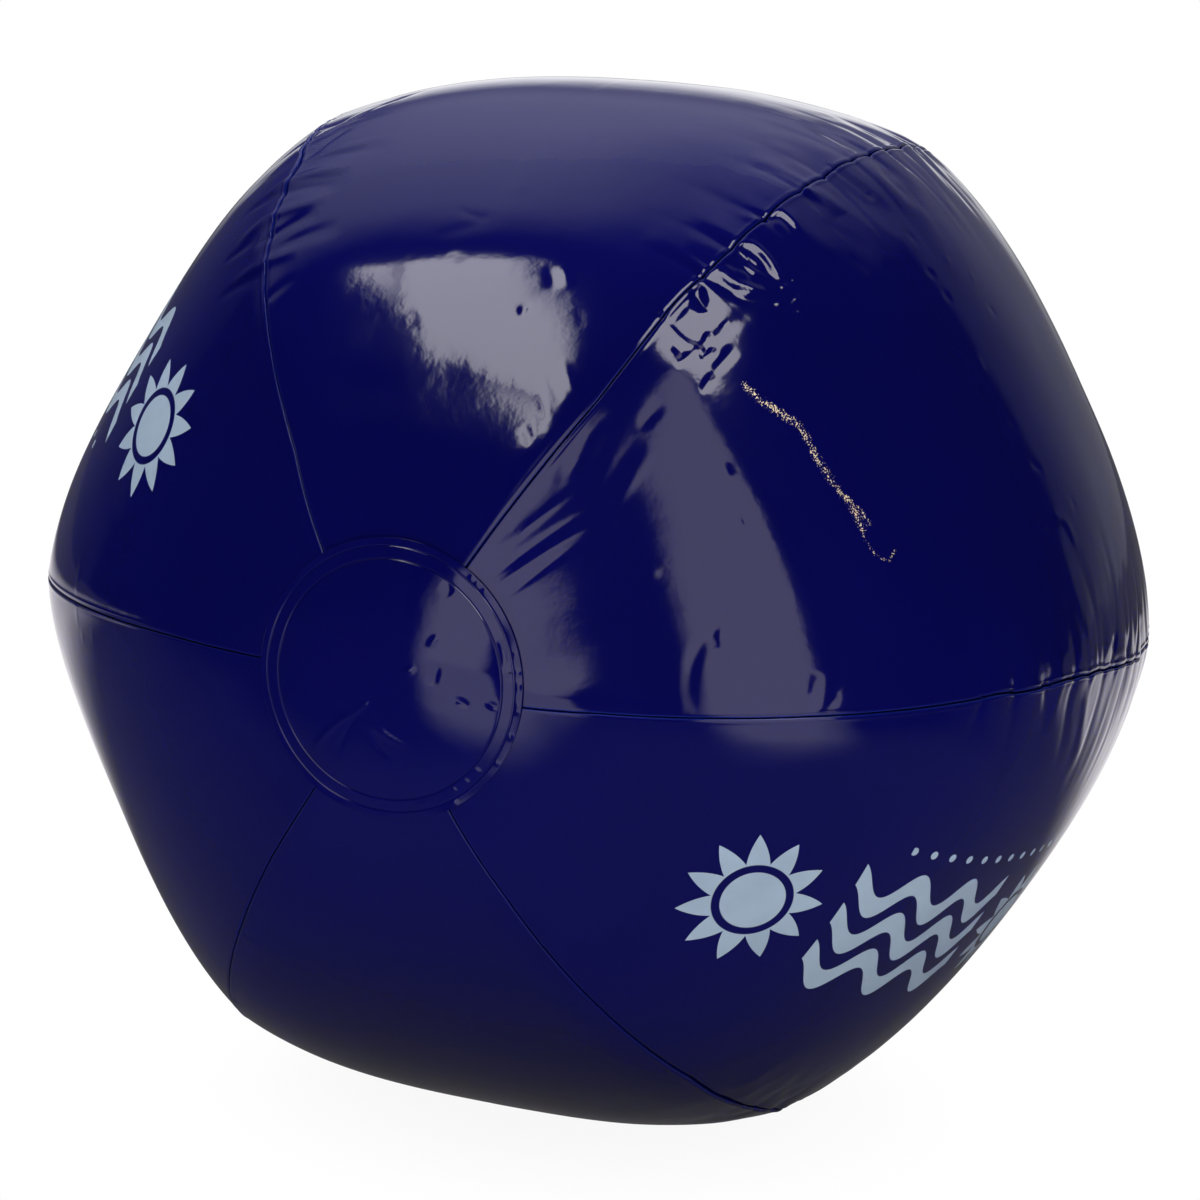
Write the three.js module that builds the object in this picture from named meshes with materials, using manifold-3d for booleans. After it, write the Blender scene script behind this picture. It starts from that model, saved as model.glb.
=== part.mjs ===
// Inflatable beach ball: six film panels welded edge to edge, a disc over each pole,
// and an air valve that pushes in, with a plug on a strap and a check flap inside.
// Millimetres, +Z up. The ball lies on the middle of one panel with its poles along Y,
// the plain disc at -Y and the valve at +Y. The origin is the middle of the resting patch.

import * as THREE from 'three';
import { mergeVertices } from 'three/addons/utils/BufferGeometryUtils.js';
import Module from 'manifold-3d';

const wasm = await Module();
wasm.setup();

const { Vector2, Vector3 } = THREE;

// Blown-up ball
const panelCount = 6;
const flatRadius = 137;
const seamRise = 6.2;
const poleRise = 5.5;
const flatFullness = 2.15;
const seamFullness = 2.3;
const cornerSharpnessShare = 0.36;
const contactDepth = 1;

// Film and welds
const film = 0.3;
const gap = 0.3;
const finDepth = 4;

// Pole discs
const discRadius = 32.5;
const lapWidth = 6.5;

// Valve tube
const boreRadius = 3.4;
const tubeWall = 1.5;
const tubeLength = 15;
const mouthHeight = 1.6;
const mouthChamfer = 0.4;
const rimStep = 0.7;
const rimHeight = 1.2;
const collarStep = 0.8;
const collarHeight = 1.2;
const collarDrop = 8.2;

// Skirt that rolls when the valve is pushed in, and the flange that it hangs from
const skirtRoll = 3.9;
const skirtWall = 0.5;
const skirtLipHeight = 0.7;
const flangeWidth = 4.4;
const flangeThickness = 0.9;

// Plug and its strap
const hingeReach = 9;
const strapWidth = 3.6;
const strapThickness = 0.9;
const headOverhang = 0.4;
const headHeight = 1.8;
const headRound = 0.6;
const stubLength = 5;
const stubClearance = 0.2;
const stubRound = 0.5;
const gripWidth = 4.4;
const gripReach = 2.2;

// Check flap
const flapRadius = 4.2;
const flapThickness = 0.5;
const flapTongueWidth = 3.2;

// Mesh steps
const acrossSteps = 8;
const alongSteps = 28;
const discRings = 3;
const turnedSteps = 24;
const roundSteps = 4;
const noseSteps = 5;
const probeAngle = 0.001;

// Sizes that follow from those
const seamRadius = flatRadius + seamRise;
const poleRadius = flatRadius + poleRise;
const centreHeight = flatRadius - contactDepth;
const halfPanel = Math.PI / panelCount;
const tipRadius = discRadius - lapWidth;
const discLift = gap + film;
const discFace = poleRadius + discLift;
const tubeRadius = boreRadius + tubeWall;
const rimRadius = tubeRadius + rimStep;
const collarRadius = tubeRadius + collarStep;
const tubeEnd = mouthHeight - tubeLength;
const skirtRadius = collarRadius + skirtRoll;
const holeRadius = skirtRadius + gap;
const flangeRadius = holeRadius + flangeWidth;
const headRadius = rimRadius + headOverhang;
const hingeHeight = mouthHeight + gap / 2;

// Materials
const filmMaterial = () => new THREE.MeshStandardMaterial({ color: 0x0b0b52, roughness: 0.2, metalness: 0 });
const valveMaterial = () => new THREE.MeshStandardMaterial({ color: 0xd9dde0, roughness: 0.35, metalness: 0 });

// Film surface

// Distance from the centre to the film: a superellipse meridian from pole to equator
function meridian(polar, equatorRadius, fullness) {
  const side = (Math.abs(Math.sin(polar)) / equatorRadius) ** fullness;
  const end = (Math.abs(Math.cos(polar)) / poleRadius) ** fullness;
  return (side + end) ** (-1 / fullness);
}

// 0 at the middle of a panel and 1 at its seam: partly a soft wave, partly a flat side
function towardsSeam(turn) {
  const flatSide = (1 / Math.cos(turn) - 1) / (1 / Math.cos(halfPanel) - 1);
  const wave = (1 - Math.cos(panelCount * turn)) / 2;
  return wave + (flatSide - wave) * cornerSharpnessShare;
}

// Point of the film's outer face on the lowest panel, measured from the ball's centre
function filmPoint(polar, turn) {
  const middle = meridian(polar, flatRadius, flatFullness);
  const seam = meridian(polar, seamRadius, seamFullness);
  const reach = middle + (seam - middle) * towardsSeam(turn);
  const out = reach * Math.sin(polar);
  return new Vector3(out * Math.sin(turn), -reach * Math.cos(polar), -out * Math.cos(turn));
}

function filmNormal(polar, turn) {
  const along = filmPoint(polar + probeAngle, turn).sub(filmPoint(polar - probeAngle, turn));
  const across = filmPoint(polar, turn + probeAngle).sub(filmPoint(polar, turn - probeAngle));
  return along.cross(across).normalize();
}

// Angle from the pole at which the film stands a given distance from the axis
function polarAt(radius) {
  const height = poleRadius * (1 - (radius / flatRadius) ** flatFullness) ** (1 / flatFullness);
  return Math.atan2(radius, height);
}

// Turn within a panel, for an angle anywhere round the axis
function turnInPanel(angle) {
  return angle - 2 * halfPanel * Math.round(angle / (2 * halfPanel));
}

// Film point at any angle round the axis, lifted along its normal
function liftedPoint(polar, angle, lift) {
  const turn = turnInPanel(angle);
  const point = filmPoint(polar, turn);
  point.addScaledVector(filmNormal(polar, turn), lift);
  return point.applyAxisAngle(new Vector3(0, 1, 0), turn - angle);
}

// Solids

// Closed solid between an outer and an inner grid of points. Rows run from pole to pole and
// columns run round. A row of one point is the middle of a disc.
function sheetSolid(outer, inner, closedRound) {
  const points = [];
  const lay = (grid) => grid.map((row) => row.map((point) => points.push(point) - 1));
  const out = lay(outer);
  const back = lay(inner);
  const faces = [];
  const at = (row, column) => row[column % row.length];
  const triangle = (a, b, c) => {
    if (a !== b && b !== c && c !== a) faces.push(a, b, c);
  };
  const quad = (a, b, c, d) => {
    triangle(a, b, c);
    triangle(a, c, d);
  };
  const widest = Math.max(...out.map((row) => row.length));
  const columns = closedRound ? widest : widest - 1;
  const lastRow = out.length - 1;
  for (let r = 0; r < lastRow; r += 1) {
    for (let c = 0; c < columns; c += 1) {
      quad(at(out[r], c), at(out[r + 1], c), at(out[r + 1], c + 1), at(out[r], c + 1));
      quad(at(back[r], c), at(back[r], c + 1), at(back[r + 1], c + 1), at(back[r + 1], c));
    }
    if (!closedRound) {
      quad(out[r][0], back[r][0], back[r + 1][0], out[r + 1][0]);
      quad(out[r][columns], out[r + 1][columns], back[r + 1][columns], back[r][columns]);
    }
  }
  for (let c = 0; c < columns; c += 1) {
    if (out[0].length > 1) {
      quad(at(out[0], c), at(out[0], c + 1), at(back[0], c + 1), at(back[0], c));
    }
    if (out[lastRow].length > 1) {
      quad(at(out[lastRow], c), at(back[lastRow], c), at(back[lastRow], c + 1), at(out[lastRow], c + 1));
    }
  }
  const geometry = new THREE.BufferGeometry();
  geometry.setAttribute('position', new THREE.Float32BufferAttribute(points.flatMap((p) => p.toArray()), 3));
  geometry.setIndex(faces);
  geometry.computeVertexNormals();
  return geometry;
}

// Geometry from three.js with its shared corners merged, as a manifold solid
function toSolid(geometry) {
  const bare = geometry.clone();
  bare.deleteAttribute('normal');
  bare.deleteAttribute('uv');
  const merged = mergeVertices(bare);
  const vertProperties = Float32Array.from(merged.attributes.position.array);
  const triVerts = Uint32Array.from(merged.index.array);
  return new wasm.Manifold(new wasm.Mesh({ numProp: 3, vertProperties, triVerts }));
}

function toGeometry(solid) {
  const mesh = solid.getMesh();
  const geometry = new THREE.BufferGeometry();
  geometry.setAttribute('position', new THREE.BufferAttribute(mesh.vertProperties, 3));
  geometry.setIndex(new THREE.BufferAttribute(mesh.triVerts, 1));
  geometry.computeVertexNormals();
  return geometry;
}

function turned(profile) {
  return new THREE.LatheGeometry(profile, turnedSteps);
}

// Quarter-circle points of a rounded edge, between two angles
function roundEdge(centreX, centreY, radius, fromAngle, toAngle) {
  const points = [];
  for (let i = 0; i <= roundSteps; i += 1) {
    const angle = fromAngle + ((toAngle - fromAngle) * i) / roundSteps;
    points.push(new Vector2(centreX + radius * Math.cos(angle), centreY + radius * Math.sin(angle)));
  }
  return points;
}

// Film panels

// A panel's edge folds inwards into a fin that lies against its neighbour's fin
function seamFold(polar, side) {
  const seamTurn = side * halfPanel;
  const away = new Vector3(side * Math.cos(halfPanel), 0, Math.sin(halfPanel));
  const along = filmPoint(polar + probeAngle, seamTurn).sub(filmPoint(polar - probeAngle, seamTurn));
  const inward = along.cross(away).multiplyScalar(-side).normalize();
  const seam = filmPoint(polar, seamTurn);
  const fromAxis = Math.hypot(seam.x, seam.z);
  const edge = filmPoint(polar, seamTurn - side * Math.asin(gap / 2 / fromAxis));
  const tip = edge.clone().addScaledVector(inward, finDepth);
  const backEdge = edge.clone().addScaledVector(inward, film).addScaledVector(away, -film);
  const backTip = tip.clone().addScaledVector(away, -film);
  return { edge, tip, backEdge, backTip };
}

// Presses what would stand lower than the floor up to it, or to the film's thickness above it
function restOnFloor(point, above) {
  point.z = Math.max(point.z, above - centreHeight);
}

function panelGeometry(rests) {
  const rim = polarAt(discRadius);
  const rows = [polarAt(tipRadius)];
  for (let i = 0; i <= alongSteps; i += 1) rows.push(rim + ((Math.PI - 2 * rim) * i) / alongSteps);
  rows.push(Math.PI - polarAt(tipRadius));
  const outer = [];
  const inner = [];
  for (const polar of rows) {
    const left = seamFold(polar, -1);
    const right = seamFold(polar, 1);
    const face = [left.tip, left.edge];
    const back = [left.backTip, left.backEdge];
    for (let i = 1; i < acrossSteps; i += 1) {
      const turn = halfPanel * ((2 * i) / acrossSteps - 1);
      face.push(liftedPoint(polar, turn, 0));
      back.push(liftedPoint(polar, turn, -film));
    }
    face.push(right.edge, right.tip);
    back.push(right.backEdge, right.backTip);
    if (rests) {
      face.forEach((point) => restOnFloor(point, 0));
      back.forEach((point) => restOnFloor(point, film));
    }
    outer.push(face);
    inner.push(back);
  }
  return sheetSolid(outer, inner, false);
}

// Pole discs and valve flange

// Round piece that follows the film at a pole, from an inner to an outer radius
function poleRing(innerRadius, outerRadius, lift, thickness, rings) {
  const around = panelCount * acrossSteps;
  const outer = [];
  const inner = [];
  for (let i = 0; i <= rings; i += 1) {
    const radius = innerRadius + ((outerRadius - innerRadius) * i) / rings;
    if (radius === 0) {
      outer.push([new Vector3(0, -poleRadius - lift, 0)]);
      inner.push([new Vector3(0, -poleRadius - lift + thickness, 0)]);
      continue;
    }
    const angles = Array.from({ length: around }, (_, c) => (2 * Math.PI * c) / around);
    outer.push(angles.map((angle) => liftedPoint(polarAt(radius), angle, lift)));
    inner.push(angles.map((angle) => liftedPoint(polarAt(radius), angle, lift - thickness)));
  }
  return sheetSolid(outer, inner, true);
}

// Valve

function valveFlange() {
  return poleRing(holeRadius, flangeRadius, -gap, flangeThickness, 1);
}

// Where the skirt's lip stands, level with the flange's inner edge
function flangeEdgeHeight() {
  const surface = filmPoint(polarAt(holeRadius), 0);
  return -surface.y - gap - discFace;
}

function skirtGeometry() {
  const top = flangeEdgeHeight();
  const bottom = -collarDrop;
  const foot = collarRadius + gap;
  return turned([
    new Vector2(foot, bottom - collarHeight),
    new Vector2(foot + skirtWall, bottom - collarHeight),
    new Vector2(foot + skirtWall, bottom),
    new Vector2(skirtRadius, top - skirtLipHeight),
    new Vector2(skirtRadius, top),
    new Vector2(skirtRadius - skirtWall, top),
    new Vector2(skirtRadius - skirtWall, top - skirtLipHeight),
    new Vector2(foot, bottom),
    new Vector2(foot, bottom - collarHeight),
  ]);
}

function stemGeometry() {
  const collarTop = -collarDrop;
  const tube = turned([
    new Vector2(boreRadius, tubeEnd),
    new Vector2(tubeRadius, tubeEnd),
    new Vector2(tubeRadius, collarTop - collarHeight),
    new Vector2(collarRadius, collarTop - collarHeight),
    new Vector2(collarRadius, collarTop),
    new Vector2(tubeRadius, collarTop + collarStep),
    new Vector2(tubeRadius, mouthHeight - rimHeight - rimStep),
    new Vector2(rimRadius, mouthHeight - rimHeight),
    new Vector2(rimRadius, mouthHeight),
    new Vector2(boreRadius + mouthChamfer, mouthHeight),
    new Vector2(boreRadius, mouthHeight - mouthChamfer),
    new Vector2(boreRadius, tubeEnd),
  ]);
  const rootStart = boreRadius + tubeWall / 2;
  const strapRoot = new THREE.BoxGeometry(strapWidth, strapThickness, hingeReach - rootStart);
  strapRoot.translate(0, mouthHeight - strapThickness / 2, (hingeReach + rootStart) / 2);
  return toGeometry(toSolid(tube).add(toSolid(strapRoot)));
}

// The stub is a nose that can swing out of the bore about the strap's hinge
function stubRadius(depth) {
  const swing = hingeReach + boreRadius;
  const below = depth + hingeHeight - mouthHeight;
  return Math.sqrt(swing ** 2 - below ** 2) - hingeReach - stubClearance;
}

function plugGeometry() {
  const seat = mouthHeight + gap;
  const top = seat + headHeight;
  const tip = mouthHeight - stubLength;
  const tipRound = stubRadius(stubLength) - stubRound;
  const profile = [new Vector2(0, tip)];
  profile.push(...roundEdge(tipRound, tip + stubRound, stubRound, -Math.PI / 2, 0));
  for (let i = 1; i <= noseSteps; i += 1) {
    const depth = (stubLength - stubRound) * (1 - i / noseSteps);
    profile.push(new Vector2(stubRadius(depth), mouthHeight - depth));
  }
  profile.push(new Vector2(stubRadius(0), seat));
  profile.push(new Vector2(headRadius, seat));
  profile.push(...roundEdge(headRadius - headRound, top - headRound, headRound, 0, Math.PI / 2));
  profile.push(new Vector2(0, top));
  const overlap = headRadius - headRound;
  const strap = new THREE.BoxGeometry(strapWidth, strapThickness, hingeReach - boreRadius);
  strap.translate(0, seat + strapThickness / 2, (hingeReach + boreRadius) / 2);
  const grip = new THREE.BoxGeometry(gripWidth, strapThickness, overlap + gripReach);
  grip.translate(0, seat + strapThickness / 2, -(overlap + gripReach) / 2 - headRound);
  return toGeometry(toSolid(turned(profile)).add(toSolid(strap)).add(toSolid(grip)));
}

// Flat disc with a tongue up to its hinge, lying against the inner end of the tube
function flapGeometry() {
  const half = flapTongueWidth / 2;
  const shoulder = Math.acos(half / flapRadius);
  const outline = new THREE.Shape();
  outline.moveTo(half, tubeRadius);
  outline.lineTo(-half, tubeRadius);
  outline.absarc(0, 0, flapRadius, Math.PI - shoulder, 2 * Math.PI + shoulder, false);
  outline.lineTo(half, tubeRadius);
  const solid = new THREE.ExtrudeGeometry(outline, {
    depth: flapThickness,
    bevelEnabled: false,
    curveSegments: turnedSteps,
  });
  solid.rotateX(Math.PI / 2);
  solid.translate(0, tubeEnd - gap, 0);
  return solid;
}

// Assembly

function piece(name, geometry, material) {
  const mesh = new THREE.Mesh(geometry, material);
  mesh.name = name;
  return mesh;
}

const ball = new THREE.Group();
ball.position.z = centreHeight;

const plainPanel = panelGeometry(false);
for (let i = 0; i < panelCount; i += 1) {
  const panel = piece(`panel_${i + 1}`, i === 0 ? panelGeometry(true) : plainPanel, filmMaterial());
  panel.rotation.y = 2 * halfPanel * i;
  ball.add(panel);
}

ball.add(piece('front_disc', poleRing(0, discRadius, discLift, film, discRings), filmMaterial()));

// The valve's end is the front end turned about Z
const valveEnd = new THREE.Group();
valveEnd.rotation.z = Math.PI;
valveEnd.add(piece('valve_disc', poleRing(holeRadius, discRadius, discLift, film, discRings), filmMaterial()));
valveEnd.add(piece('valve_flange', valveFlange(), valveMaterial()));
ball.add(valveEnd);

const valve = new THREE.Group();
valve.position.y = discFace;
valve.add(piece('valve_skirt', skirtGeometry(), valveMaterial()));
valve.add(piece('valve_stem', stemGeometry(), valveMaterial()));
valve.add(piece('valve_plug', plugGeometry(), valveMaterial()));
valve.add(piece('check_flap', flapGeometry(), valveMaterial()));
ball.add(valve);

const group = new THREE.Group();
group.add(ball);

export default group;
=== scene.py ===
# %% [markdown]
# # A blown-up beach ball of welded vinyl film
#
# A beach ball is six long panels of thin glossy film, welded edge to edge, with a round disc
# over each end and an air valve in one of them. Nothing in it is a ball until air fills it, so
# its looks come from film under pressure: flat-sided, with a soft corner at each seam, and
# puckers where a seam is longer than the path that it has to follow.
#
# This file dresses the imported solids. It starts with the frame, which says where each solid is.

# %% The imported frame
import math
import bmesh
import bpy
import numpy as np
from mathutils import Matrix, Vector


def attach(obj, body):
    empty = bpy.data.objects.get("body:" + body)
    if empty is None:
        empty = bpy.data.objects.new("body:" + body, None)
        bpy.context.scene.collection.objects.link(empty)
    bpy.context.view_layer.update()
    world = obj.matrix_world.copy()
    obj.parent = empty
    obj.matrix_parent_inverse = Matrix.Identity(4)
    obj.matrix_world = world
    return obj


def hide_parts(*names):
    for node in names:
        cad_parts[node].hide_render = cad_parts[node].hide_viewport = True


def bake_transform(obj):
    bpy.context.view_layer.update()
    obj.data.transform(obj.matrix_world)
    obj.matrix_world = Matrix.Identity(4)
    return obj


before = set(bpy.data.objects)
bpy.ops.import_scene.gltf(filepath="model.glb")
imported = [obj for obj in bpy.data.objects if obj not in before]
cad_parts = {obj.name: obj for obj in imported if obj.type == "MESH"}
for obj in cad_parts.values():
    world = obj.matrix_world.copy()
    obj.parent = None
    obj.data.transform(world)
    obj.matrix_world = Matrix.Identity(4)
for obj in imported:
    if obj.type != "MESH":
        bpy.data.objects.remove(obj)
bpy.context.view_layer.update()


def added(name, data):
    """A new object in the scene."""
    made = bpy.data.objects.new(name, data)
    bpy.context.scene.collection.objects.link(made)
    return made

# %% [markdown]
# ## The camera
#
# The camera could be moved by eye until the picture looks right. Here it was solved instead: the
# outline, the seams and the disc of the photographed ball were fitted by a surface, and the fit
# gives the place, the turn and the lens. The rows of the camera's matrix are its right, its up
# and its back directions.

# %% The camera
centre = np.array([0.0, 0.0, 0.136])
camera_right = (0.93314, 0.35283, 0.06893)
camera_up = (-0.12697, 0.14408, 0.98139)
camera_back = (0.33633, -0.92453, 0.17925)
camera_place = Vector(centre) + Vector((0.2792, -0.7717, 0.1472))
camera_data = bpy.data.cameras.new("photo_camera")
camera_data.sensor_width = 36
camera_data.lens = 92.5
camera_data.clip_start = 0.05
camera_data.clip_end = 50
camera = added("photo_camera", camera_data)
turned_camera = Matrix((camera_right, camera_up, camera_back)).transposed().to_4x4()
camera.matrix_world = Matrix.Translation(camera_place) @ turned_camera
bpy.context.scene.camera = camera
print("camera at", [round(v, 3) for v in camera_place])

# %% [markdown]
# ## The smooth ball
#
# The shape without its puckers is a formula, the same one that made the solids. From pole to pole
# the film follows a superellipse, a curve between a circle and a rounded square. Round the ball it
# swings between a flat panel and a soft corner at the seam. A formula is better than a sculpted
# mesh here, because every later piece can ask it where the film is and which way it faces.
#
# Two angles name a place on the film: `polar`, from the plain disc, and `around`, from the floor
# towards +X.

# %% The film's formula
FLAT_RADIUS = 0.137
SEAM_RADIUS = 0.1432
POLE_RADIUS = 0.1425
FLAT_FULLNESS = 2.15
SEAM_FULLNESS = 2.3
CORNER_SHARPNESS = 0.36
CORNER_ROUND = math.radians(5)
HALF_PANEL = math.pi / 6
TIP_SHARE = 0.06
TIP_ZONE = (38, 66)
DISC_ZONE = (8, 19)
STEP = 1e-4
FILM = 0.0003
GAP = 0.0003


def meridian(polar, equator_radius, fullness):
    side = (np.abs(np.sin(polar)) / equator_radius) ** fullness
    end = (np.abs(np.cos(polar)) / POLE_RADIUS) ** fullness
    return (side + end) ** (-1 / fullness)


def flat_side(turn):
    return (1 / np.cos(turn) - 1) / (1 / math.cos(HALF_PANEL) - 1)


def blend_in(value, start, end):
    """0 at start and 1 at end, rounded at both."""
    share = np.clip((value - start) / (end - start), 0, 1)
    return share * share * (3 - 2 * share)


def towards_seam(turn, polar):
    """0 on a panel's middle line and 1 at its seams. Near the poles a panel never caves in."""
    wave = (1 - np.cos(6 * turn)) / 2
    at_equator = wave + (flat_side(turn) - wave) * CORNER_SHARPNESS
    to_seam = HALF_PANEL - np.abs(turn)
    rounded = np.hypot(to_seam, CORNER_ROUND) - CORNER_ROUND
    rounded = HALF_PANEL * (1 - rounded / (math.hypot(HALF_PANEL, CORNER_ROUND) - CORNER_ROUND))
    at_pole = TIP_SHARE * flat_side(turn) + (1 - TIP_SHARE) * flat_side(rounded)
    from_pole = np.degrees(np.arcsin(np.clip(np.abs(np.sin(polar)), 0, 1)))
    value = at_pole + (at_equator - at_pole) * blend_in(from_pole, *TIP_ZONE)
    return 0.4 + (value - 0.4) * blend_in(from_pole, *DISC_ZONE)


def film_point(polar, turn, middle=0.0):
    """Film's outer face, from the ball's centre. turn is from the panel's middle line."""
    flat = meridian(polar, FLAT_RADIUS, FLAT_FULLNESS)
    seam = meridian(polar, SEAM_RADIUS, SEAM_FULLNESS)
    reach = flat + (seam - flat) * towards_seam(turn, polar)
    out = reach * np.sin(polar)
    around = turn + middle
    return np.stack([out * np.sin(around), -reach * np.cos(polar), -out * np.cos(around)], -1)


def unit(vectors):
    return vectors / np.linalg.norm(vectors, axis=-1, keepdims=True)


def film_frame(polar, turn, middle=0.0):
    """Directions along the meridian, across the panel and out of the film."""
    along = film_point(polar + STEP, turn, middle) - film_point(polar - STEP, turn, middle)
    across = film_point(polar, turn + STEP, middle) - film_point(polar, turn - STEP, middle)
    along, across = unit(along), unit(across)
    return along, across, unit(np.cross(along, across))


def turn_in_panel(around):
    return around - 2 * HALF_PANEL * np.round(around / (2 * HALF_PANEL))


def place(polar_degrees, around_degrees):
    """A point of the smooth film, from two angles in degrees."""
    polar, around = np.radians(polar_degrees), np.radians(around_degrees)
    turn = turn_in_panel(around)
    return film_point(polar, turn, around - turn)


def polar_at(radius):
    """Polar angle at which the film stands a given distance from the axis."""
    height = POLE_RADIUS * (1 - (radius / FLAT_RADIUS) ** FLAT_FULLNESS) ** (1 / FLAT_FULLNESS)
    return np.arctan2(radius, height)


print("panel middle %.1f mm, seam %.1f mm from the axis" % (
    1000 * np.linalg.norm(place(90, 0)), 1000 * np.linalg.norm(place(90, 30))))

# %% [markdown]
# ## Puckers from a cloth simulation
#
# Each panel is cut flat, and its curved edges are longer than its middle line. Blown up, the seam
# has more length than it needs, and the film gathers into puckers that cross the seam. Drawing
# them one by one looks drawn. So a ball is sewn here from six flat panels, ten times too large so
# that Blender's cloth solver is comfortable, and blown up by pressure. What is kept is only how
# far the blown ball departs from its own smooth average; this is laid on the formula's surface.

# %% The flat panels, sewn
SIM_RADIUS = 1.43
SIM_ROWS = 200
SIM_COLUMNS = 44
SIM_FRAMES = 16
UNEVEN_WAVES = 60


def sewn_ball():
    """Points of six flat panels folded along their seams, and the numbers of their grid."""
    along = np.linspace(0, math.pi * SIM_RADIUS, SIM_ROWS + 1)
    half_width = math.pi * SIM_RADIUS / 6 * np.clip(np.sin(along / SIM_RADIUS), 0, 1) ** 0.95
    middle = half_width / math.tan(math.pi / 6)
    step = np.diff(along)
    rise = np.sqrt(np.clip(step ** 2 - np.diff(middle) ** 2, (0.05 * step) ** 2, None))
    height = np.concatenate([[0], np.cumsum(rise)])
    height -= height[-1] / 2
    points, grid = [], -np.ones((SIM_ROWS + 1, 6 * SIM_COLUMNS), int)
    for row in range(SIM_ROWS + 1):
        if row in (0, SIM_ROWS):
            grid[row, :] = len(points)
            points.append((0, 0, height[row]))
            continue
        for panel in range(6):
            angle = panel * math.pi / 3
            for column in range(SIM_COLUMNS):
                side = half_width[row] * (2 * column / SIM_COLUMNS - 1)
                grid[row, panel * SIM_COLUMNS + column] = len(points)
                points.append((middle[row] * math.cos(angle) - side * math.sin(angle),
                               middle[row] * math.sin(angle) + side * math.cos(angle),
                               height[row]))
    return np.array(points), grid


def blown_ball(seed=7):
    """The sewn panels after the air has filled them, and the grid."""
    flat, grid = sewn_ball()
    faces = []
    for row in range(SIM_ROWS):
        for column in range(6 * SIM_COLUMNS):
            after = (column + 1) % (6 * SIM_COLUMNS)
            corners = [grid[row, column], grid[row, after], grid[row + 1, after], grid[row + 1, column]]
            faces.append([int(c) for i, c in enumerate(corners) if c not in corners[:i]])
    mesh = bpy.data.meshes.new("sewn")
    mesh.from_pydata(flat.tolist(), [], faces)
    ball = added("sewn", mesh)
    chance = np.random.default_rng(seed)
    uneven = np.zeros(len(flat))
    for _ in range(UNEVEN_WAVES):
        wave = chance.normal(size=3)
        wave *= chance.uniform(10, 45) / np.linalg.norm(wave)
        uneven += np.cos(flat @ wave / SIM_RADIUS + chance.uniform(0, 2 * math.pi))
    start = flat + unit(flat) * (uneven * 0.006 / math.sqrt(UNEVEN_WAVES))[:, None]
    ball.shape_key_add(name="start").data.foreach_set("co", start.astype(np.float32).ravel())
    rest = ball.shape_key_add(name="flat")
    rest.data.foreach_set("co", flat.astype(np.float32).ravel())
    seam = ball.vertex_groups.new(name="seam")
    for column in range(0, 6 * SIM_COLUMNS, SIM_COLUMNS):
        for row in range(1, SIM_ROWS):
            seam.add([int(grid[row, column])], math.sin(math.pi * row / SIM_ROWS) ** 0.5, "REPLACE")
    cloth = ball.modifiers.new("air", "CLOTH")
    film = cloth.settings
    film.quality = 5
    film.mass = 0.02
    film.air_damping = 3
    film.tension_stiffness = film.compression_stiffness = 60
    film.shear_stiffness = 30
    film.bending_model = "ANGULAR"
    film.bending_stiffness = 0.008
    film.tension_damping = film.compression_damping = film.shear_damping = 5
    film.bending_damping = 0.5
    film.use_pressure = True
    film.uniform_pressure_force = 10
    film.vertex_group_shrink = "seam"
    film.shrink_min = 0
    film.shrink_max = 0.03
    film.effector_weights.gravity = 0
    film.rest_shape_key = rest
    cloth.collision_settings.use_collision = False
    cloth.point_cache.frame_start = 1
    cloth.point_cache.frame_end = SIM_FRAMES
    for number in range(1, SIM_FRAMES + 1):
        bpy.context.scene.frame_set(number)
    blown = ball.evaluated_get(bpy.context.evaluated_depsgraph_get()).data
    points = np.zeros(len(blown.vertices) * 3, np.float32)
    blown.vertices.foreach_get("co", points)
    bpy.data.objects.remove(ball)
    bpy.context.scene.frame_set(1)
    return points.reshape(-1, 3).astype(float), grid


def smoothed(field, spread, axis):
    """Blurs a grid along one of its axes, holding its ends."""
    reach = int(3 * spread) + 1
    weights = np.exp(-0.5 * (np.arange(-reach, reach + 1) / spread) ** 2)
    weights /= weights.sum()
    padding = [(0, 0)] * field.ndim
    padding[axis] = (reach, reach)
    padded = np.pad(field, padding, mode="edge")
    return sum(w * np.take(padded, range(i, i + field.shape[axis]), axis) for i, w in enumerate(weights))


def grid_frame(grid):
    along = unit(np.gradient(grid, axis=0) + 1e-12)
    across = unit(np.gradient(grid, axis=1) + 1e-12)
    out = unit(np.cross(along, across) + 1e-12)
    return along, across, np.where((out * grid).sum(-1, keepdims=True) < 0, -out, out)


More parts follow.
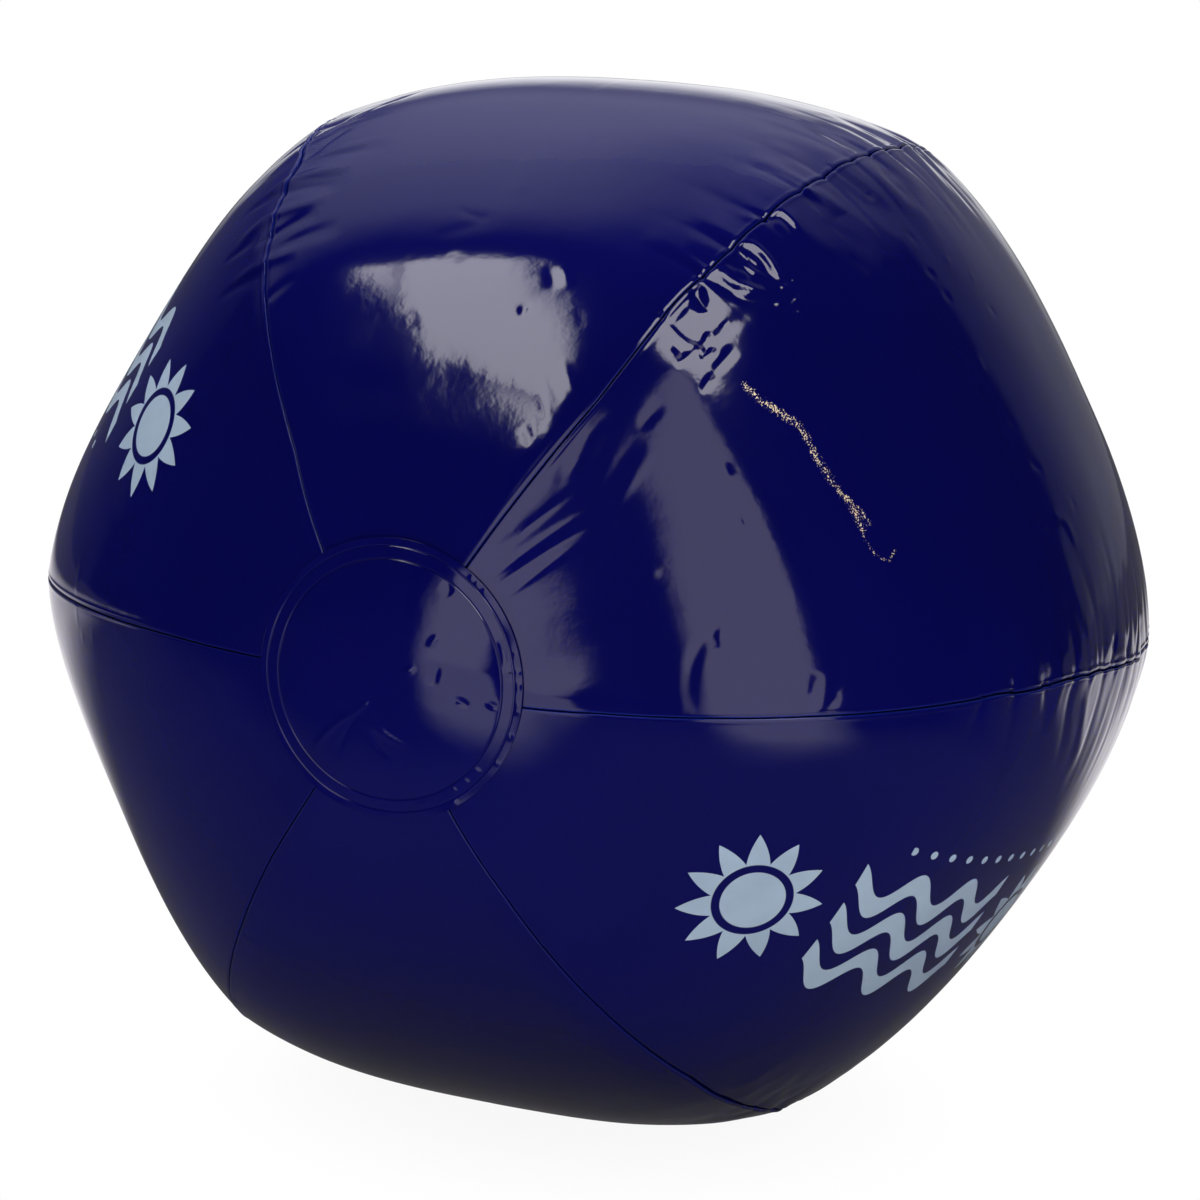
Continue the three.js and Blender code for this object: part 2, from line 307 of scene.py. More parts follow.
def puckers():
    """How far each panel departs from the smooth ball: along, across and out, in metres."""
    points, grid = blown_ball()
    panels = []
    for panel in range(6):
        angle = -panel * math.pi / 3
        columns = [(panel * SIM_COLUMNS + c) % (6 * SIM_COLUMNS) for c in range(SIM_COLUMNS + 1)]
        part = points[grid[:, columns]]
        x = part[..., 0] * math.cos(angle) - part[..., 1] * math.sin(angle)
        y = part[..., 0] * math.sin(angle) + part[..., 1] * math.cos(angle)
        panels.append(np.stack([x, y, part[..., 2]], -1))
    mean = sum(panels) / 6
    mean = (mean + mean[:, ::-1] * (1, -1, 1)) / 2
    mean = (mean + mean[::-1] * (1, 1, -1)) / 2
    mean = smoothed(smoothed(mean, 5, 0), 1.2, 1)
    along, across, out = grid_frame(mean)
    scale = FLAT_RADIUS / SIM_RADIUS
    departures = []
    for part in panels:
        off = (part - mean) * scale
        off = np.stack([(off * along).sum(-1), (off * across).sum(-1), (off * out).sum(-1)], -1)
        ends = np.clip(np.minimum(np.arange(SIM_ROWS + 1), np.arange(SIM_ROWS, -1, -1)) / 24 - 0.5, 0, 1)
        departures.append(smoothed(off, 0.9, 0) * ends[:, None, None])
    return departures


departures = puckers()
if departures:
    print("puckers stand out by up to %.1f mm and in by %.1f mm" % (
        1000 * max(d[..., 2].max() for d in departures), 1000 * min(d[..., 2].min() for d in departures)))

# %% [markdown]
# ## Laying the puckers on the film
#
# The solver's grid is coarser than the panel's mesh. Straight-line reading between its points
# would show as facets in the gloss, so a cubic curve runs through four neighbours each way.

# %% Reading the simulated grid smoothly
def cubic_weights(t):
    return (((-0.5 * t + 1) * t - 0.5) * t, (1.5 * t - 2.5) * t * t + 1,
            ((-1.5 * t + 2) * t + 0.5) * t, (0.5 * t - 0.5) * t * t)


def read_grid(grid, row, column):
    row = np.clip(row, 0, grid.shape[0] - 1.001)
    column = np.clip(column, 0, grid.shape[1] - 1.001)
    r, c = row.astype(int), column.astype(int)
    value = 0
    for i, wr in enumerate(cubic_weights(row - r)):
        rr = np.clip(r + i - 1, 0, grid.shape[0] - 1)
        for j, wc in enumerate(cubic_weights(column - c)):
            cc = np.clip(c + j - 1, 0, grid.shape[1] - 1)
            value = value + (wr * wc)[..., None] * grid[rr, cc]
    return value

# %% [markdown]
# ## Seams that wander and pinch
#
# A hand-welded seam is not a perfect meridian. It drifts a little, and where a pucker crosses it
# the film pinches: the seam dips in a sharp notch, and between two notches the film bulges. The
# drift is a short table of degrees for each seam. The notches are spaced closer towards the
# middle of the ball, where there is most slack.

# %% Seam drift and pinches
SEAM_DRIFT = {
    150: ((0, -1.0), (32, -1.0), (41, 0), (180, 0)),
    90: ((0, -4.2), (13, -3.9), (20, -1.9), (29, -0.8), (38, 0), (57, 1.2), (72, 1.2), (95, 0), (180, 0)),
    30: ((0, 0), (14, 0), (22, 1.5), (37, 2.6), (52, 3.0), (80, 0), (180, 0)),
    -30: ((0, -1.3), (23, -2.2), (34, -1.5), (51, -0.8), (90, 0), (180, 0)),
    -90: ((0, -0.5), (24, -1.0), (60, 0), (180, 0)),
    -150: ((0, 5), (13, 4.6), (23, 1.4), (41, 1.1), (58, -1.4), (80, 0), (180, 0)),
}
SEAM_PINCHES = {
    150: (41.2, 47.1, 48.5, 51.5, 56.7, 62.9, 68, 74.2, 79, 83.5, 89, 94.6),
    90: (56.9, 61.0, 65.4, 66.6, 71.3, 74.5, 79.2, 82.5, 87.3, 91, 95.4),
}


def seam_on(number, side):
    """The seam on one side of a panel. A seam's name is its angle around the ball."""
    return (30 * side - 60 * (number - 1) + 180) % 360 - 180


def pinch_places(seam):
    """Polar angles, in degrees, of the notches along a seam."""
    chance = np.random.default_rng(abs(seam) + 11)
    places = list(SEAM_PINCHES.get(seam, ()))
    angle = places[-1] if places else 52 + chance.uniform(0, 6)
    while angle < 132:
        slack = math.sin(math.radians(angle)) ** 4
        angle += chance.uniform(2.0, 4.5) / (0.35 + 0.65 * slack)
        places.append(angle)
    return np.array(sorted(places))


def between_pinches(seam, polar):
    """Number of the bulge that a place lies in, its length in metres and a hump over it."""
    places = pinch_places(seam)
    degrees = np.degrees(polar)
    number = np.clip(np.searchsorted(places, degrees, side="right") - 1, 0, len(places) - 2)
    gap = places[number + 1] - places[number]
    share = np.clip((degrees - places[number]) / gap, 0, 1)
    return number, gap * math.radians(1) * FLAT_RADIUS, np.sin(math.pi * share) ** 0.6


def seam_turn(seam, polar):
    """Turn of a seam away from its meridian: its drift, and a bow between each two pinches."""
    table = SEAM_DRIFT[seam]
    drift = np.interp(np.degrees(polar), [p for p, _ in table], [d for _, d in table])
    number, length, hump = between_pinches(seam, polar)
    chance = np.random.default_rng(abs(seam) + 31)
    bow = chance.uniform(-0.25, 0.8, 80)[number] * 60 * length
    return np.radians(drift + np.clip(bow, -0.15, 0.24) * hump)


for seam in SEAM_DRIFT:
    print("seam at", seam, "has", len(pinch_places(seam)), "pinches")

# %% [markdown]
# ## Panels
#
# A panel is a closed sheet as thick as the film. Its rows run round the ball and are closest where
# the folds are smallest. Its columns crowd towards the seams, where the film rises in a low lip
# beside the weld, rolls over the edge and folds inwards into the weld fin. Panels with many folds
# get more columns. Both panels of a seam use the same rows, so they meet exactly.

# %% Rows and columns of a panel
ROLL = 0.0005
ROLL_ZONE = (34, 54)
LIP = 0.00009
LIP_PLACE = 0.00085
LIP_WIDTH = 0.00034
LIP_ZONE = (12, 40)
WELD_LINE = 0.0005
EDGE_STEPS = np.array([0.0, 0.03, 0.1, 0.2, 0.32, 0.46, 0.62, 0.8, 1.0, 1.25, 1.6, 2.1, 2.9, 3.9, 5.2])
EDGE_STEPS *= 0.001
FIN_STEPS = np.array([4.0, 2.2, 1.2, 0.85]) * 0.001
TIP_RADIUS = 0.026
INNER_STEPS = {1: 60, 2: 60, 3: 90, 4: 190, 5: 190, 6: 130}


def panel_rows():
    first = polar_at(TIP_RADIUS)
    fine = np.linspace(first, math.pi - first, 4001)
    spacing = np.interp(np.degrees(fine), (10, 24, 34, 60, 72, 98, 120, 170),
                        (0.0014, 0.0010, 0.00065, 0.00065, 0.0008, 0.0008, 0.0019, 0.0022))
    reach = meridian(fine, FLAT_RADIUS, FLAT_FULLNESS)
    count = np.concatenate([[0], np.cumsum(np.diff(fine) * (reach / spacing)[1:])])
    rows = int(round(count[-1]))
    return np.interp(np.linspace(0, count[-1], rows + 1), count, fine)


ROWS = panel_rows()


def panel_columns(number, inner_steps):
    """For each row: turn from the panel's middle, distance to the nearer seam and fin depth."""
    polar = ROWS[:, None]
    sides = []
    for side in (-1, 1):
        drift = seam_turn(seam_on(number, side), polar)
        radius = np.linalg.norm(film_point(polar, side * HALF_PANEL)[..., ::2], axis=-1)
        edge = side * HALF_PANEL + drift
        distance = np.concatenate([np.zeros(len(FIN_STEPS)), EDGE_STEPS])[None, :]
        turn = edge - side * (distance + GAP / 2) / radius
        sides.append((turn, np.broadcast_to(distance, turn.shape)))
    (left, left_far), (right, right_far) = sides
    share = (np.arange(1, inner_steps) / inner_steps)[None, :]
    share = share - 0.35 * np.sin(2 * math.pi * share) / (2 * math.pi)
    inner = left[:, -1:] + (right[:, -1:] - left[:, -1:]) * share
    width = (right[:, -1:] - left[:, -1:]) * np.linalg.norm(
        film_point(polar, 0 * polar)[..., ::2], axis=-1)
    inner_far = EDGE_STEPS[-1] + width * np.minimum(share, 1 - share)
    turn = np.concatenate([left, inner, right[:, ::-1]], 1)
    far = np.concatenate([left_far, inner_far, right_far[:, ::-1]], 1)
    depth = np.concatenate([FIN_STEPS, np.zeros(len(EDGE_STEPS))])
    depth = np.concatenate([depth, np.zeros(inner_steps - 1), depth[::-1]])
    return turn, far, depth


print("rows in a panel:", len(ROWS))

# %% [markdown]
# ## Folds and dents
#
# Gloss shows every fold of the film, so those that the photographed ball shows are placed one by
# one: the gathers of the seam at the upper right, the upright folds at the right, the long fan at
# the upper left, and many small dents. Noise could make dents too, but never where the real ones
# are. Each fold is a short path on the film. Its section is a soft bell with a width and a height,
# because a blown-up film has no sharp crease. A negative height is a hollow.

# %% Tools for folds
def path_distance(points, path):
    """Distance from points to a bent path, and the share of the way along it."""
    best = np.full(points.shape[:-1], 9.0)
    share = np.zeros_like(best)
    lengths = np.linalg.norm(np.diff(path, axis=0), axis=-1)
    before = np.concatenate([[0], np.cumsum(lengths)])
    for i, (a, b) in enumerate(zip(path[:-1], path[1:])):
        t = np.clip(((points - a) @ (b - a)) / lengths[i] ** 2, 0, 1)
        distance = np.linalg.norm(points - (a + t[..., None] * (b - a)), axis=-1)
        nearer = distance < best
        best = np.where(nearer, distance, best)
        share = np.where(nearer, (before[i] + t * lengths[i]) / before[-1], share)
    return best, share


def smooth_path(places, parts=6):
    """A curve through places given in degrees, as points of the film."""
    path = np.array([place(*p) for p in places])
    if len(path) < 3:
        return path
    longer = np.concatenate([[2 * path[0] - path[1]], path, [2 * path[-1] - path[-2]]])
    curve = []
    for i in range(1, len(longer) - 2):
        before, a, b, after = longer[i - 1:i + 3]
        for t in np.arange(parts) / parts:
            bend = (2 * before - 5 * a + 4 * b - after) * t ** 2 + (3 * a - before - 3 * b + after) * t ** 3
            curve.append(0.5 * (2 * a + (b - before) * t + bend))
    return np.array(curve + [path[-1]])


def fold(points, path, widths, height, fade="both"):
    """Lift of one fold: a soft bell across it. Its widths at both ends and its height are in mm.

    It fades at "both" ends, at its "end" only, or at "none".
    """
    reach = 0.003 * max(widths)
    close = ((points > path.min(0) - reach) & (points < path.max(0) + reach)).all(-1)
    lift = np.zeros(points.shape[:-1])
    if close.any():
        distance, share = path_distance(points[close], path)
        width = 0.001 * (widths[0] + (widths[1] - widths[0]) * share)
        ends = {"both": np.sin(math.pi * share) ** 0.7, "end": 1 - share ** 1.5, "none": 1.0}[fade]
        lift[close] = 0.001 * height * np.exp(-(distance / width) ** 2) * ends
    return lift

# %% The folds of this ball
# Each list belongs to a panel, or to two panels where the folds lie across their seam.
FOLDS = {
    (1,): [
        ([(35, -30.9), (34.7, -29), (34.9, -27)], (0.6, 0.6), 0.09),
        ([(29.4, -28.9), (30.1, -27.4), (31.1, -25.9)], (0.6, 0.6), 0.09),
        ([(29.8, -26.9), (32.1, -22.8), (34.4, -19.7)], (0.6, 0.6), 0.05),
        ([(31, -22), (32.7, -18.2), (34.7, -15.3), (35.4, -13.7)], (0.6, 0.6), 0.06),
        ([(26.5, -13.1), (28.1, -10.6), (30.1, -8.6)], (0.8, 0.6), 0.05),
        ([(34.2, -14.2), (35.7, -13.2)], (0.6, 0.6), 0.07),
        ([(49.9, -30.1), (38.6, -25.9), (32.3, -20.1)], (1.2, 3), -0.3, "end"),
        ([(30.7, 3.8), (31.3, 4.5), (31.3, 5.5)], (0.8, 0.8), -0.18),
        ([(76, -23.5), (48.8, -12), (33.7, -5.1)], (2, 3), -0.08),
        ([(72, 2), (46.6, 15.4), (34.2, 24.9)], (2, 3.2), -0.08),
    ],
    (2,): [
        ([(41.1, -90.3), (40.9, -87)], (0.6, 0.6), 0.08),
        ([(40, -86.6), (40.4, -84.7)], (0.6, 0.6), 0.07),
        ([(37.4, -87.3), (37.7, -85.1)], (0.6, 0.6), 0.07),
        ([(40.1, -83.4), (37.8, -82.4), (33.9, -82.5), (31, -83), (29.9, -81.8)], (0.9, 0.6), 0.12),
        ([(40.8, -80.3), (37.3, -80), (32.9, -81.2), (30.3, -80.8)], (0.7, 0.6), -0.1),
        ([(39.2, -80.2), (39.9, -77.4), (39.2, -74.7), (38.1, -70.9), (35.2, -68)],
         (0.6, 0.6), 0.06),
        ([(39.2, -76.7), (33.9, -76.2), (29.5, -74.9), (25.7, -73.2), (22.1, -72.7)],
         (1.4, 0.9), 0.08),
        ([(23.7, -74.3), (22.4, -75.1), (21.7, -73.2)], (0.6, 0.6), 0.07),
        ([(21.8, -77.7), (20.2, -79.3)], (0.6, 0.6), 0.06),
        ([(21.3, -70.4), (19.8, -70.1)], (0.6, 0.6), 0.06),
        ([(36.6, -35.2), (35.7, -33), (35, -30.9)], (0.6, 0.6), 0.09),
        ([(45.6, -34.4), (45.6, -32.9)], (0.6, 0.6), 0.09),
        ([(48.6, -35.4), (48.9, -33.9)], (0.6, 0.6), 0.09),
    ],
    (3,): [
        ([(42.6, -97.8), (42, -94.3), (41.3, -91.2)], (0.6, 0.6), 0.1),
        ([(49.6, -141), (48.9, -144.1), (48.2, -147.2)], (1, 1.8), -0.4),
        ([(44.9, -139.3), (43.8, -143.7), (42.5, -148.5)], (1.2, 2.2), -0.3),
        ([(44.7, -109.2), (38, -105.1), (33.2, -97.4)], (2, 3), -0.1),
    ],
    (3, 4): [
        ([(50.4, -143.5), (50.2, -147.3), (50.1, -150.2), (50.2, -153.2), (50.6, -157.3)],
         (1.5, 2.8), 0.62),
        ([(44.9, -142.9), (44.2, -146.6), (43.8, -150.2), (43.9, -153.8)], (1.4, 2.4), 0.42),
        ([(55.2, -143.8), (54.5, -147.1), (53.5, -150.7), (53, -154.5), (52.2, -158.9)],
         (1.3, 2.6), -0.55),
        ([(47.2, -147.2), (47.2, -150.3), (47.8, -152.8), (48.5, -156.2)], (1.1, 2.2), -0.5),
        ([(55.5, -147.8), (55.3, -151.1), (55.4, -154.7), (55.2, -159)], (1.3, 2.6), 0.5),
    ],
    (4,): [
        ([(41.2, 149.7), (41.5, 152.2), (41.9, 154.2)], (0.9, 1.4), -0.22, "end"),
        ([(42, 149.7), (42.3, 152.2), (43, 154.4)], (0.9, 1.6), 0.16, "end"),
        ([(47, 150.1), (47.3, 152), (47.5, 154.8), (47.8, 157.4)], (1, 2.6), -0.3, "end"),
        ([(47.8, 151.1), (48, 153.9), (48.4, 157), (49, 159.8)], (1.8, 3.5), 0.26, "end"),
        ([(48.5, 149.9), (48.7, 151.9), (48.8, 154.3)], (0.8, 1.6), -0.2, "end"),
        ([(51.4, 150), (51.5, 152.2), (51.7, 154.5), (51.9, 156.8)], (1, 3), -0.34, "end"),
        ([(52.9, 150.2), (52.8, 152.5), (52.8, 154.9), (53, 156.9)], (1.4, 3.2), 0.2, "end"),
        ([(56.8, 150), (56.5, 152), (56.6, 154.4), (57.3, 157.1)], (1, 3.5), -0.38, "end"),
        ([(56.3, 150.7), (56.3, 152.6), (56.3, 154.8), (56.7, 157.7)], (1.6, 3.5), 0.26, "end"),
        ([(63.2, 149.9), (63.2, 151.9), (63.2, 154.8), (63.5, 157.8)], (0.9, 2.6), -0.48, "end"),
        ([(64.7, 150), (64.6, 152.2), (64.5, 154.8), (64.6, 157.2)], (1.2, 3), 0.22, "end"),
        ([(70.3, 150), (70.3, 151.1), (69.7, 151.9)], (0.8, 1.2), -0.3, "end"),
        ([(70.4, 151.7), (70.3, 151.1), (71.1, 150.9)], (0.7, 0.7), 0.16),
        ([(63.2, 150.2), (63.3, 151.6), (63.2, 153.3), (62.9, 154.6)], (1.2, 1.5), 0.55, "end"),
        ([(56.8, 150), (56.9, 150.9), (56.8, 151.7)], (0.8, 1), -0.45, "end"),
        ([(76.7, 154.8), (75.9, 152.1), (75, 150.4)], (0.8, 0.8), 0.12),
        ([(57.6, -150.5), (58.1, -154), (58.1, -157.9), (58.1, -163)], (1.2, 2.6), -0.4),
        ([(44.7, -149.5), (45.1, -152.5), (45.6, -155.6), (45.9, -159.6)], (1.4, 3), -0.3),
        ([(39.1, -149.1), (39.9, -151.8), (40.5, -154.6)], (1, 2.2), -0.2, "end"),
        ([(54.9, -151.9), (54.1, -155.3), (53.6, -159.2)], (0.8, 1.4), -0.14),
        ([(58.7, -152.8), (59.5, -157.5), (60.3, -162.6)], (1.2, 2.2), 0.2),
        ([(47.7, -175.1), (46.8, -177.1), (46.3, -179.9)], (1.2, 1.4), -0.07),
        ([(49.9, 178.2), (51.3, 178.1), (51.9, 177.2)], (0.9, 1.2), 0.07),
        ([(43.5, -172.8), (44.9, -177.3), (46.9, 178.7)], (2, 2.6), -0.05),
        ([(59.5, 173.5), (61, 173), (61.7, 171.9)], (1.2, 1.2), -0.08),
        ([(36.3, 169.2), (36.7, 168.6), (36.7, 167.8)], (1.1, 1.3), -0.1),
        ([(41.8, -176.5), (41.3, -177.7), (40.5, -178.7)], (1.2, 1.6), -0.03),
        ([(41.9, 168.7), (40.7, 167.1), (39.5, 165.9)], (1.3, 1.6), -0.06),
        ([(42.2, 166.8), (41.4, 165.4), (40.2, 163.8)], (1.1, 1.5), 0.07),
        ([(35.5, -174.2), (34.4, -175.5), (33.2, -176.8)], (1.2, 2), 0.02),
        ([(33.3, 158.2), (31.7, 154.1), (31.7, 151.7), (30.4, 151.5)], (0.9, 1.2), 0.05),
        ([(31.8, 159.2), (30.5, 155.8), (29.9, 153.9)], (1.1, 1.5), -0.05),
        ([(29.7, 158.7), (28.8, 155.7), (28, 153.1)], (1.1, 1.4), 0.04),
        ([(38.3, 161.5), (37.9, 159.9), (37, 158.5)], (1.2, 1.4), -0.02),
        ([(26.4, 157.8), (25.9, 155.5), (25.2, 153.9)], (0.9, 1.1), -0.05),
        ([(56, -148.8), (60, -152.5), (65, -156)], (0.9, 1.6), -0.3),
        ([(62, -149), (67, -154), (73, -158.5)], (1, 1.8), 0.36),
        ([(66, -154), (71, -157), (77, -160)], (0.9, 1.6), -0.32),
    ],
    (5,): [
        ([(71.6, 146.5), (71.6, 146.1), (71.4, 145.5)], (0.8, 0.7), -0.16),
        ([(76.1, 137), (76.1, 136.5), (75.7, 136)], (0.9, 0.8), 0.14),
        ([(70.9, 136.4), (71.3, 136), (72, 135.6)], (0.9, 0.8), -0.16),
        ([(71.4, 133.6), (71.8, 133.1), (72, 132.5)], (1, 0.8), -0.16),
        ([(79.2, 134.4), (79.3, 133.9), (78.8, 133.4)], (0.8, 0.7), 0.12),
        ([(79.1, 130.5), (79.5, 130), (80, 129.2)], (0.9, 0.8), -0.14),
        ([(67, 128), (67.7, 127.2), (69.2, 127.1), (70.1, 126.5)], (0.9, 0.8), -0.16),
        ([(71.2, 126.2), (71.3, 125.4), (71.2, 124.3)], (0.9, 0.8), 0.12),
        ([(72.3, 113.7), (72.9, 113.3), (74.1, 112.8)], (0.8, 0.7), -0.14),
        ([(77.8, 108.9), (78.5, 108.2), (78.3, 107.3)], (0.8, 0.8), -0.14),
        ([(72.8, 107.5), (74.4, 107.4), (75.5, 106.5), (75.9, 105.3), (76.4, 103.6)],
         (1.2, 1.5), 0.16),
        ([(69.4, 107.1), (70.6, 106.7), (71.2, 106)], (0.9, 0.8), 0.12),
        ([(71.5, 118.7), (72, 118.2), (72.1, 117.6)], (0.8, 0.7), -0.1),
        ([(72.1, 140.9), (72.5, 140), (72.1, 139.1)], (1.2, 1), -0.12),
        ([(65.5, 139.2), (65.8, 137.8), (65.5, 136.5)], (1.4, 1.2), -0.1),
        ([(61.7, 137.2), (62.7, 136), (63.1, 134.6)], (1.2, 1.2), 0.08),
        ([(41.2, 149.9), (41.1, 146.2), (41.7, 143.8)], (0.8, 1), -0.12, "none"),
        ([(41.7, 143.8), (44.2, 143.4), (46.8, 143.3), (48.8, 142.7)], (1, 2.2), -0.11, "end"),
        ([(40.3, 146.6), (40.3, 145.5), (40.2, 144.3)], (0.9, 0.9), 0.14),
        ([(47.3, 149.8), (47.8, 147.8), (48.2, 146), (48.9, 144), (50.3, 142.4)], (1.1, 1.8), -0.34, "end"),
        ([(48.5, 149.9), (49.3, 147.2), (50.3, 144.2), (51, 142.4)], (0.8, 1.4), 0.25),
        ([(52.3, 150.2), (53.5, 148.9), (53.6, 146.9), (53.3, 145), (53, 143.2)], (0.8, 1), 0.42),
        ([(52.1, 149.2), (52.8, 147.9), (52.8, 146.4), (52.4, 144.7)], (0.6, 0.8), -0.34),
        ([(48.5, 149.3), (48.7, 147.3), (49.3, 145.4), (50.4, 144)], (0.7, 0.9), 0.26),
        ([(49.8, 148.9), (49.9, 147.4), (49.5, 146.2)], (0.6, 0.8), -0.2),
        ([(51.4, 147.9), (51.3, 146.7), (51.5, 145.6)], (0.6, 0.7), 0.2),
        ([(52.6, 143.5), (52.7, 143), (52.9, 142.5)], (0.7, 0.7), 0.3),
        ([(50.7, 142.2), (51, 141.7), (51.5, 141.4)], (0.6, 0.6), 0.26),
        ([(52.5, 140.1), (52.3, 139.7), (52.2, 139.2)], (0.6, 0.6), 0.2),
        ([(49.8, 149.7), (50.7, 147.6), (51, 145.4), (51.4, 143.8)], (0.8, 1.2), -0.3),
        ([(51.2, 149.5), (51.8, 147.5), (52.2, 145.6), (52.2, 143.7)], (0.8, 1.2), -0.3),
        ([(56.8, 150), (58.1, 149.2), (58, 147.9), (57.6, 146.2)], (1.1, 1.7), -0.75, "end"),
        ([(58.2, 150), (59, 148.9), (58.8, 147.3), (58.4, 145.8)], (1, 1.8), 0.2),
        ([(63.5, 149.9), (64.3, 148.9), (64.4, 147.6), (64.4, 145.9)], (1.5, 2.2), 0.75, "end"),
        ([(64.7, 150), (65.3, 148.9), (65.5, 147.3), (65.5, 145.7)], (1, 2.2), 0.26),
        ([(54.1, 143.5), (54.2, 143), (54.1, 142.4)], (0.8, 0.8), 0.25),
        ([(52.8, 141.5), (53, 141), (52.9, 140.4)], (0.8, 0.8), 0.28),
        ([(51.7, 141.9), (51.9, 141.3), (52.3, 141.1)], (0.7, 0.7), -0.2),
        ([(61.9, 146.3), (63.1, 144.3), (64.2, 142.1), (65.2, 139.4)], (1.6, 2.6), -0.16),
        ([(61.7, 141.8), (62.1, 140.4), (62.4, 139)], (1.2, 1.2), -0.14),
        ([(70.3, 150), (71.1, 147.4), (71.9, 144.7), (72.7, 141.8)], (1, 3), -0.25, "end"),
        ([(74.3, 150.2), (74.9, 147.6), (75.5, 144.9), (75.7, 142.1)], (1, 3), 0.22, "end"),
        ([(78.6, 150), (79.7, 147.5), (80.1, 144.8)], (1, 2.4), -0.2, "end"),
        ([(75, 150.4), (76, 146.9), (76.9, 144)], (0.8, 1.6), 0.12),
        ([(56.9, 91.3), (56.8, 92.5), (56.7, 93.7)], (0.6, 0.9), -0.11, "end"),
        ([(60.9, 91.3), (60.7, 92.1), (60.6, 93.1)], (0.6, 0.9), -0.11, "end"),
        ([(65.4, 91.4), (65.3, 92), (65.1, 92.7)], (0.6, 0.9), -0.1, "end"),
        ([(66.4, 91.4), (66.6, 92.4), (66.6, 93.6)], (0.6, 1), -0.11, "end"),
        ([(71.3, 91.3), (71.8, 93.3), (71.6, 96)], (0.7, 1.3), -0.15, "end"),
        ([(68.6, 91.4), (68.8, 93.6), (68.3, 95.7)], (1.4, 2.6), 0.1, "end"),
        ([(77.3, 91.1), (77.6, 95.3), (76.6, 100.5), (74.2, 107.1)], (0.9, 3.4), -0.25, "end"),
        ([(74.7, 91.1), (75, 94.6), (73.8, 99.9), (71.6, 106.5)], (1.4, 3.6), 0.17, "end"),
        ([(79.1, 91.1), (81, 94.3), (82.3, 98.6)], (1, 2.6), 0.15, "end"),
        ([(73.5, 108.3), (73.5, 107.7), (74.4, 107.3)], (0.8, 0.8), 0.12),
        ([(52.8, 92), (53.3, 91.7), (53.8, 91.6)], (0.5, 0.5), 0.14),
        ([(23.5, 143.2), (26, 145.9), (29.2, 147.9)], (1.6, 2.6), -0.07),
        ([(25, 143.2), (27.5, 145.3), (30.4, 146.3)], (1.2, 2), 0.06),
        ([(27, 142.9), (29.3, 144.5), (31.6, 145.3)], (1.2, 2), -0.05),
        ([(25.9, 135.8), (29.6, 138.7), (32.3, 140)], (1.4, 2.2), -0.06),
        ([(26.2, 132.4), (29.6, 135.4), (32.5, 137.3)], (1.2, 2), 0.05),
        ([(32.7, 140.8), (34.4, 141.4), (36, 141.5)], (1.2, 2), -0.07),
        ([(12.5, 139.7), (17.3, 137.8), (23.1, 135.8), (26.5, 133.6)], (0.7, 1.2), 0.07),
        ([(12.7, 135.6), (17.6, 134.6), (22.9, 133.3), (25.4, 132.1)], (0.6, 1), -0.06),
        ([(12.9, 146), (17, 143.4), (22.3, 141.3), (25.4, 140.6)], (0.7, 1.1), -0.06),
        ([(13.3, 129.7), (18.7, 130.6), (23.6, 131)], (0.7, 1), 0.05),
        ([(25.2, 132), (25.7, 131.4), (26, 130)], (1.1, 1.2), 0.07),
        ([(26.4, 119.9), (26.7, 118), (27.3, 117.1)], (1.1, 1.2), 0.08),
        ([(36.1, 120.9), (36.5, 120), (36.4, 118.7)], (1.1, 1.2), -0.09),
        ([(36.8, 129.2), (36.9, 127.9), (36.6, 126.6)], (1, 1.2), 0.08),
        ([(31, 106.1), (28.8, 101.2), (27.9, 94.7), (28.7, 89.2)], (1.3, 1.7), -0.09),
        ([(32.1, 106.4), (31.2, 103.1), (31.4, 99.2)], (1, 1.2), 0.07),
        ([(30.5, 104.9), (30.4, 103.2), (30.7, 101.4)], (0.9, 1.1), -0.08),
        ([(37.7, 89.9), (38.7, 92.4), (39.6, 96.1)], (1.2, 1.6), -0.08),
        ([(39.7, 90.2), (40.8, 92.6), (42.2, 96.9)], (1.2, 1.8), -0.09),
        ([(48, 109.7), (48.5, 109.1), (49.1, 109.1)], (0.8, 0.8), 0.07),
        ([(46.3, 117.3), (47.6, 113), (48.7, 108.2)], (1, 1.4), -0.05),
        ([(83.2, 150.1), (84.6, 146), (85.4, 141.5), (85.6, 136)], (1, 3), -0.3, "end"),
        ([(92.7, 150.5), (94.4, 146), (95.4, 140)], (1, 3), -0.3, "end"),
        ([(81, 91), (83.4, 94.6), (84.4, 99.5), (83.4, 107)], (0.9, 2.6), -0.26, "end"),
        ([(86.8, 90.8), (89.2, 94.5), (90.2, 101)], (0.8, 2), -0.24, "end"),
        ([(91.5, 90.5), (94.2, 95), (95.2, 101)], (0.8, 1.8), -0.24, "end"),
        ([(46.2, 149.9), (45.3, 148.4), (44.4, 146.9)], (1.5, 1.9), -0.62),
        ([(41.1, 148.9), (43.8, 149.1), (46.6, 149.4)], (1.4, 1.4), -0.42),
        ([(41.9, 143.7), (41.7, 142.5), (43, 142.4)], (0.8, 1), -0.28),
        ([(48.9, 146.9), (49.7, 145.3), (50.5, 143.9)], (0.7, 0.7), 0.3),
        ([(49.2, 149.5), (49.8, 147.8), (50.4, 146.6)], (0.7, 0.7), 0.28),
        ([(50.8, 146.4), (51, 144.9)], (0.7, 0.7), 0.26),
        ([(48.2, 146.3), (48.9, 145), (49.9, 144.1)], (0.7, 0.7), 0.25),
        ([(45.2, 144.2), (45.1, 143.7)], (0.6, 0.6), -0.15),
        ([(43.4, 144.6), (42.7, 143.8)], (0.7, 0.7), -0.2),
        ([(39.1, 144.3), (40.2, 144), (41.5, 143.8)], (0.8, 0.8), -0.13),
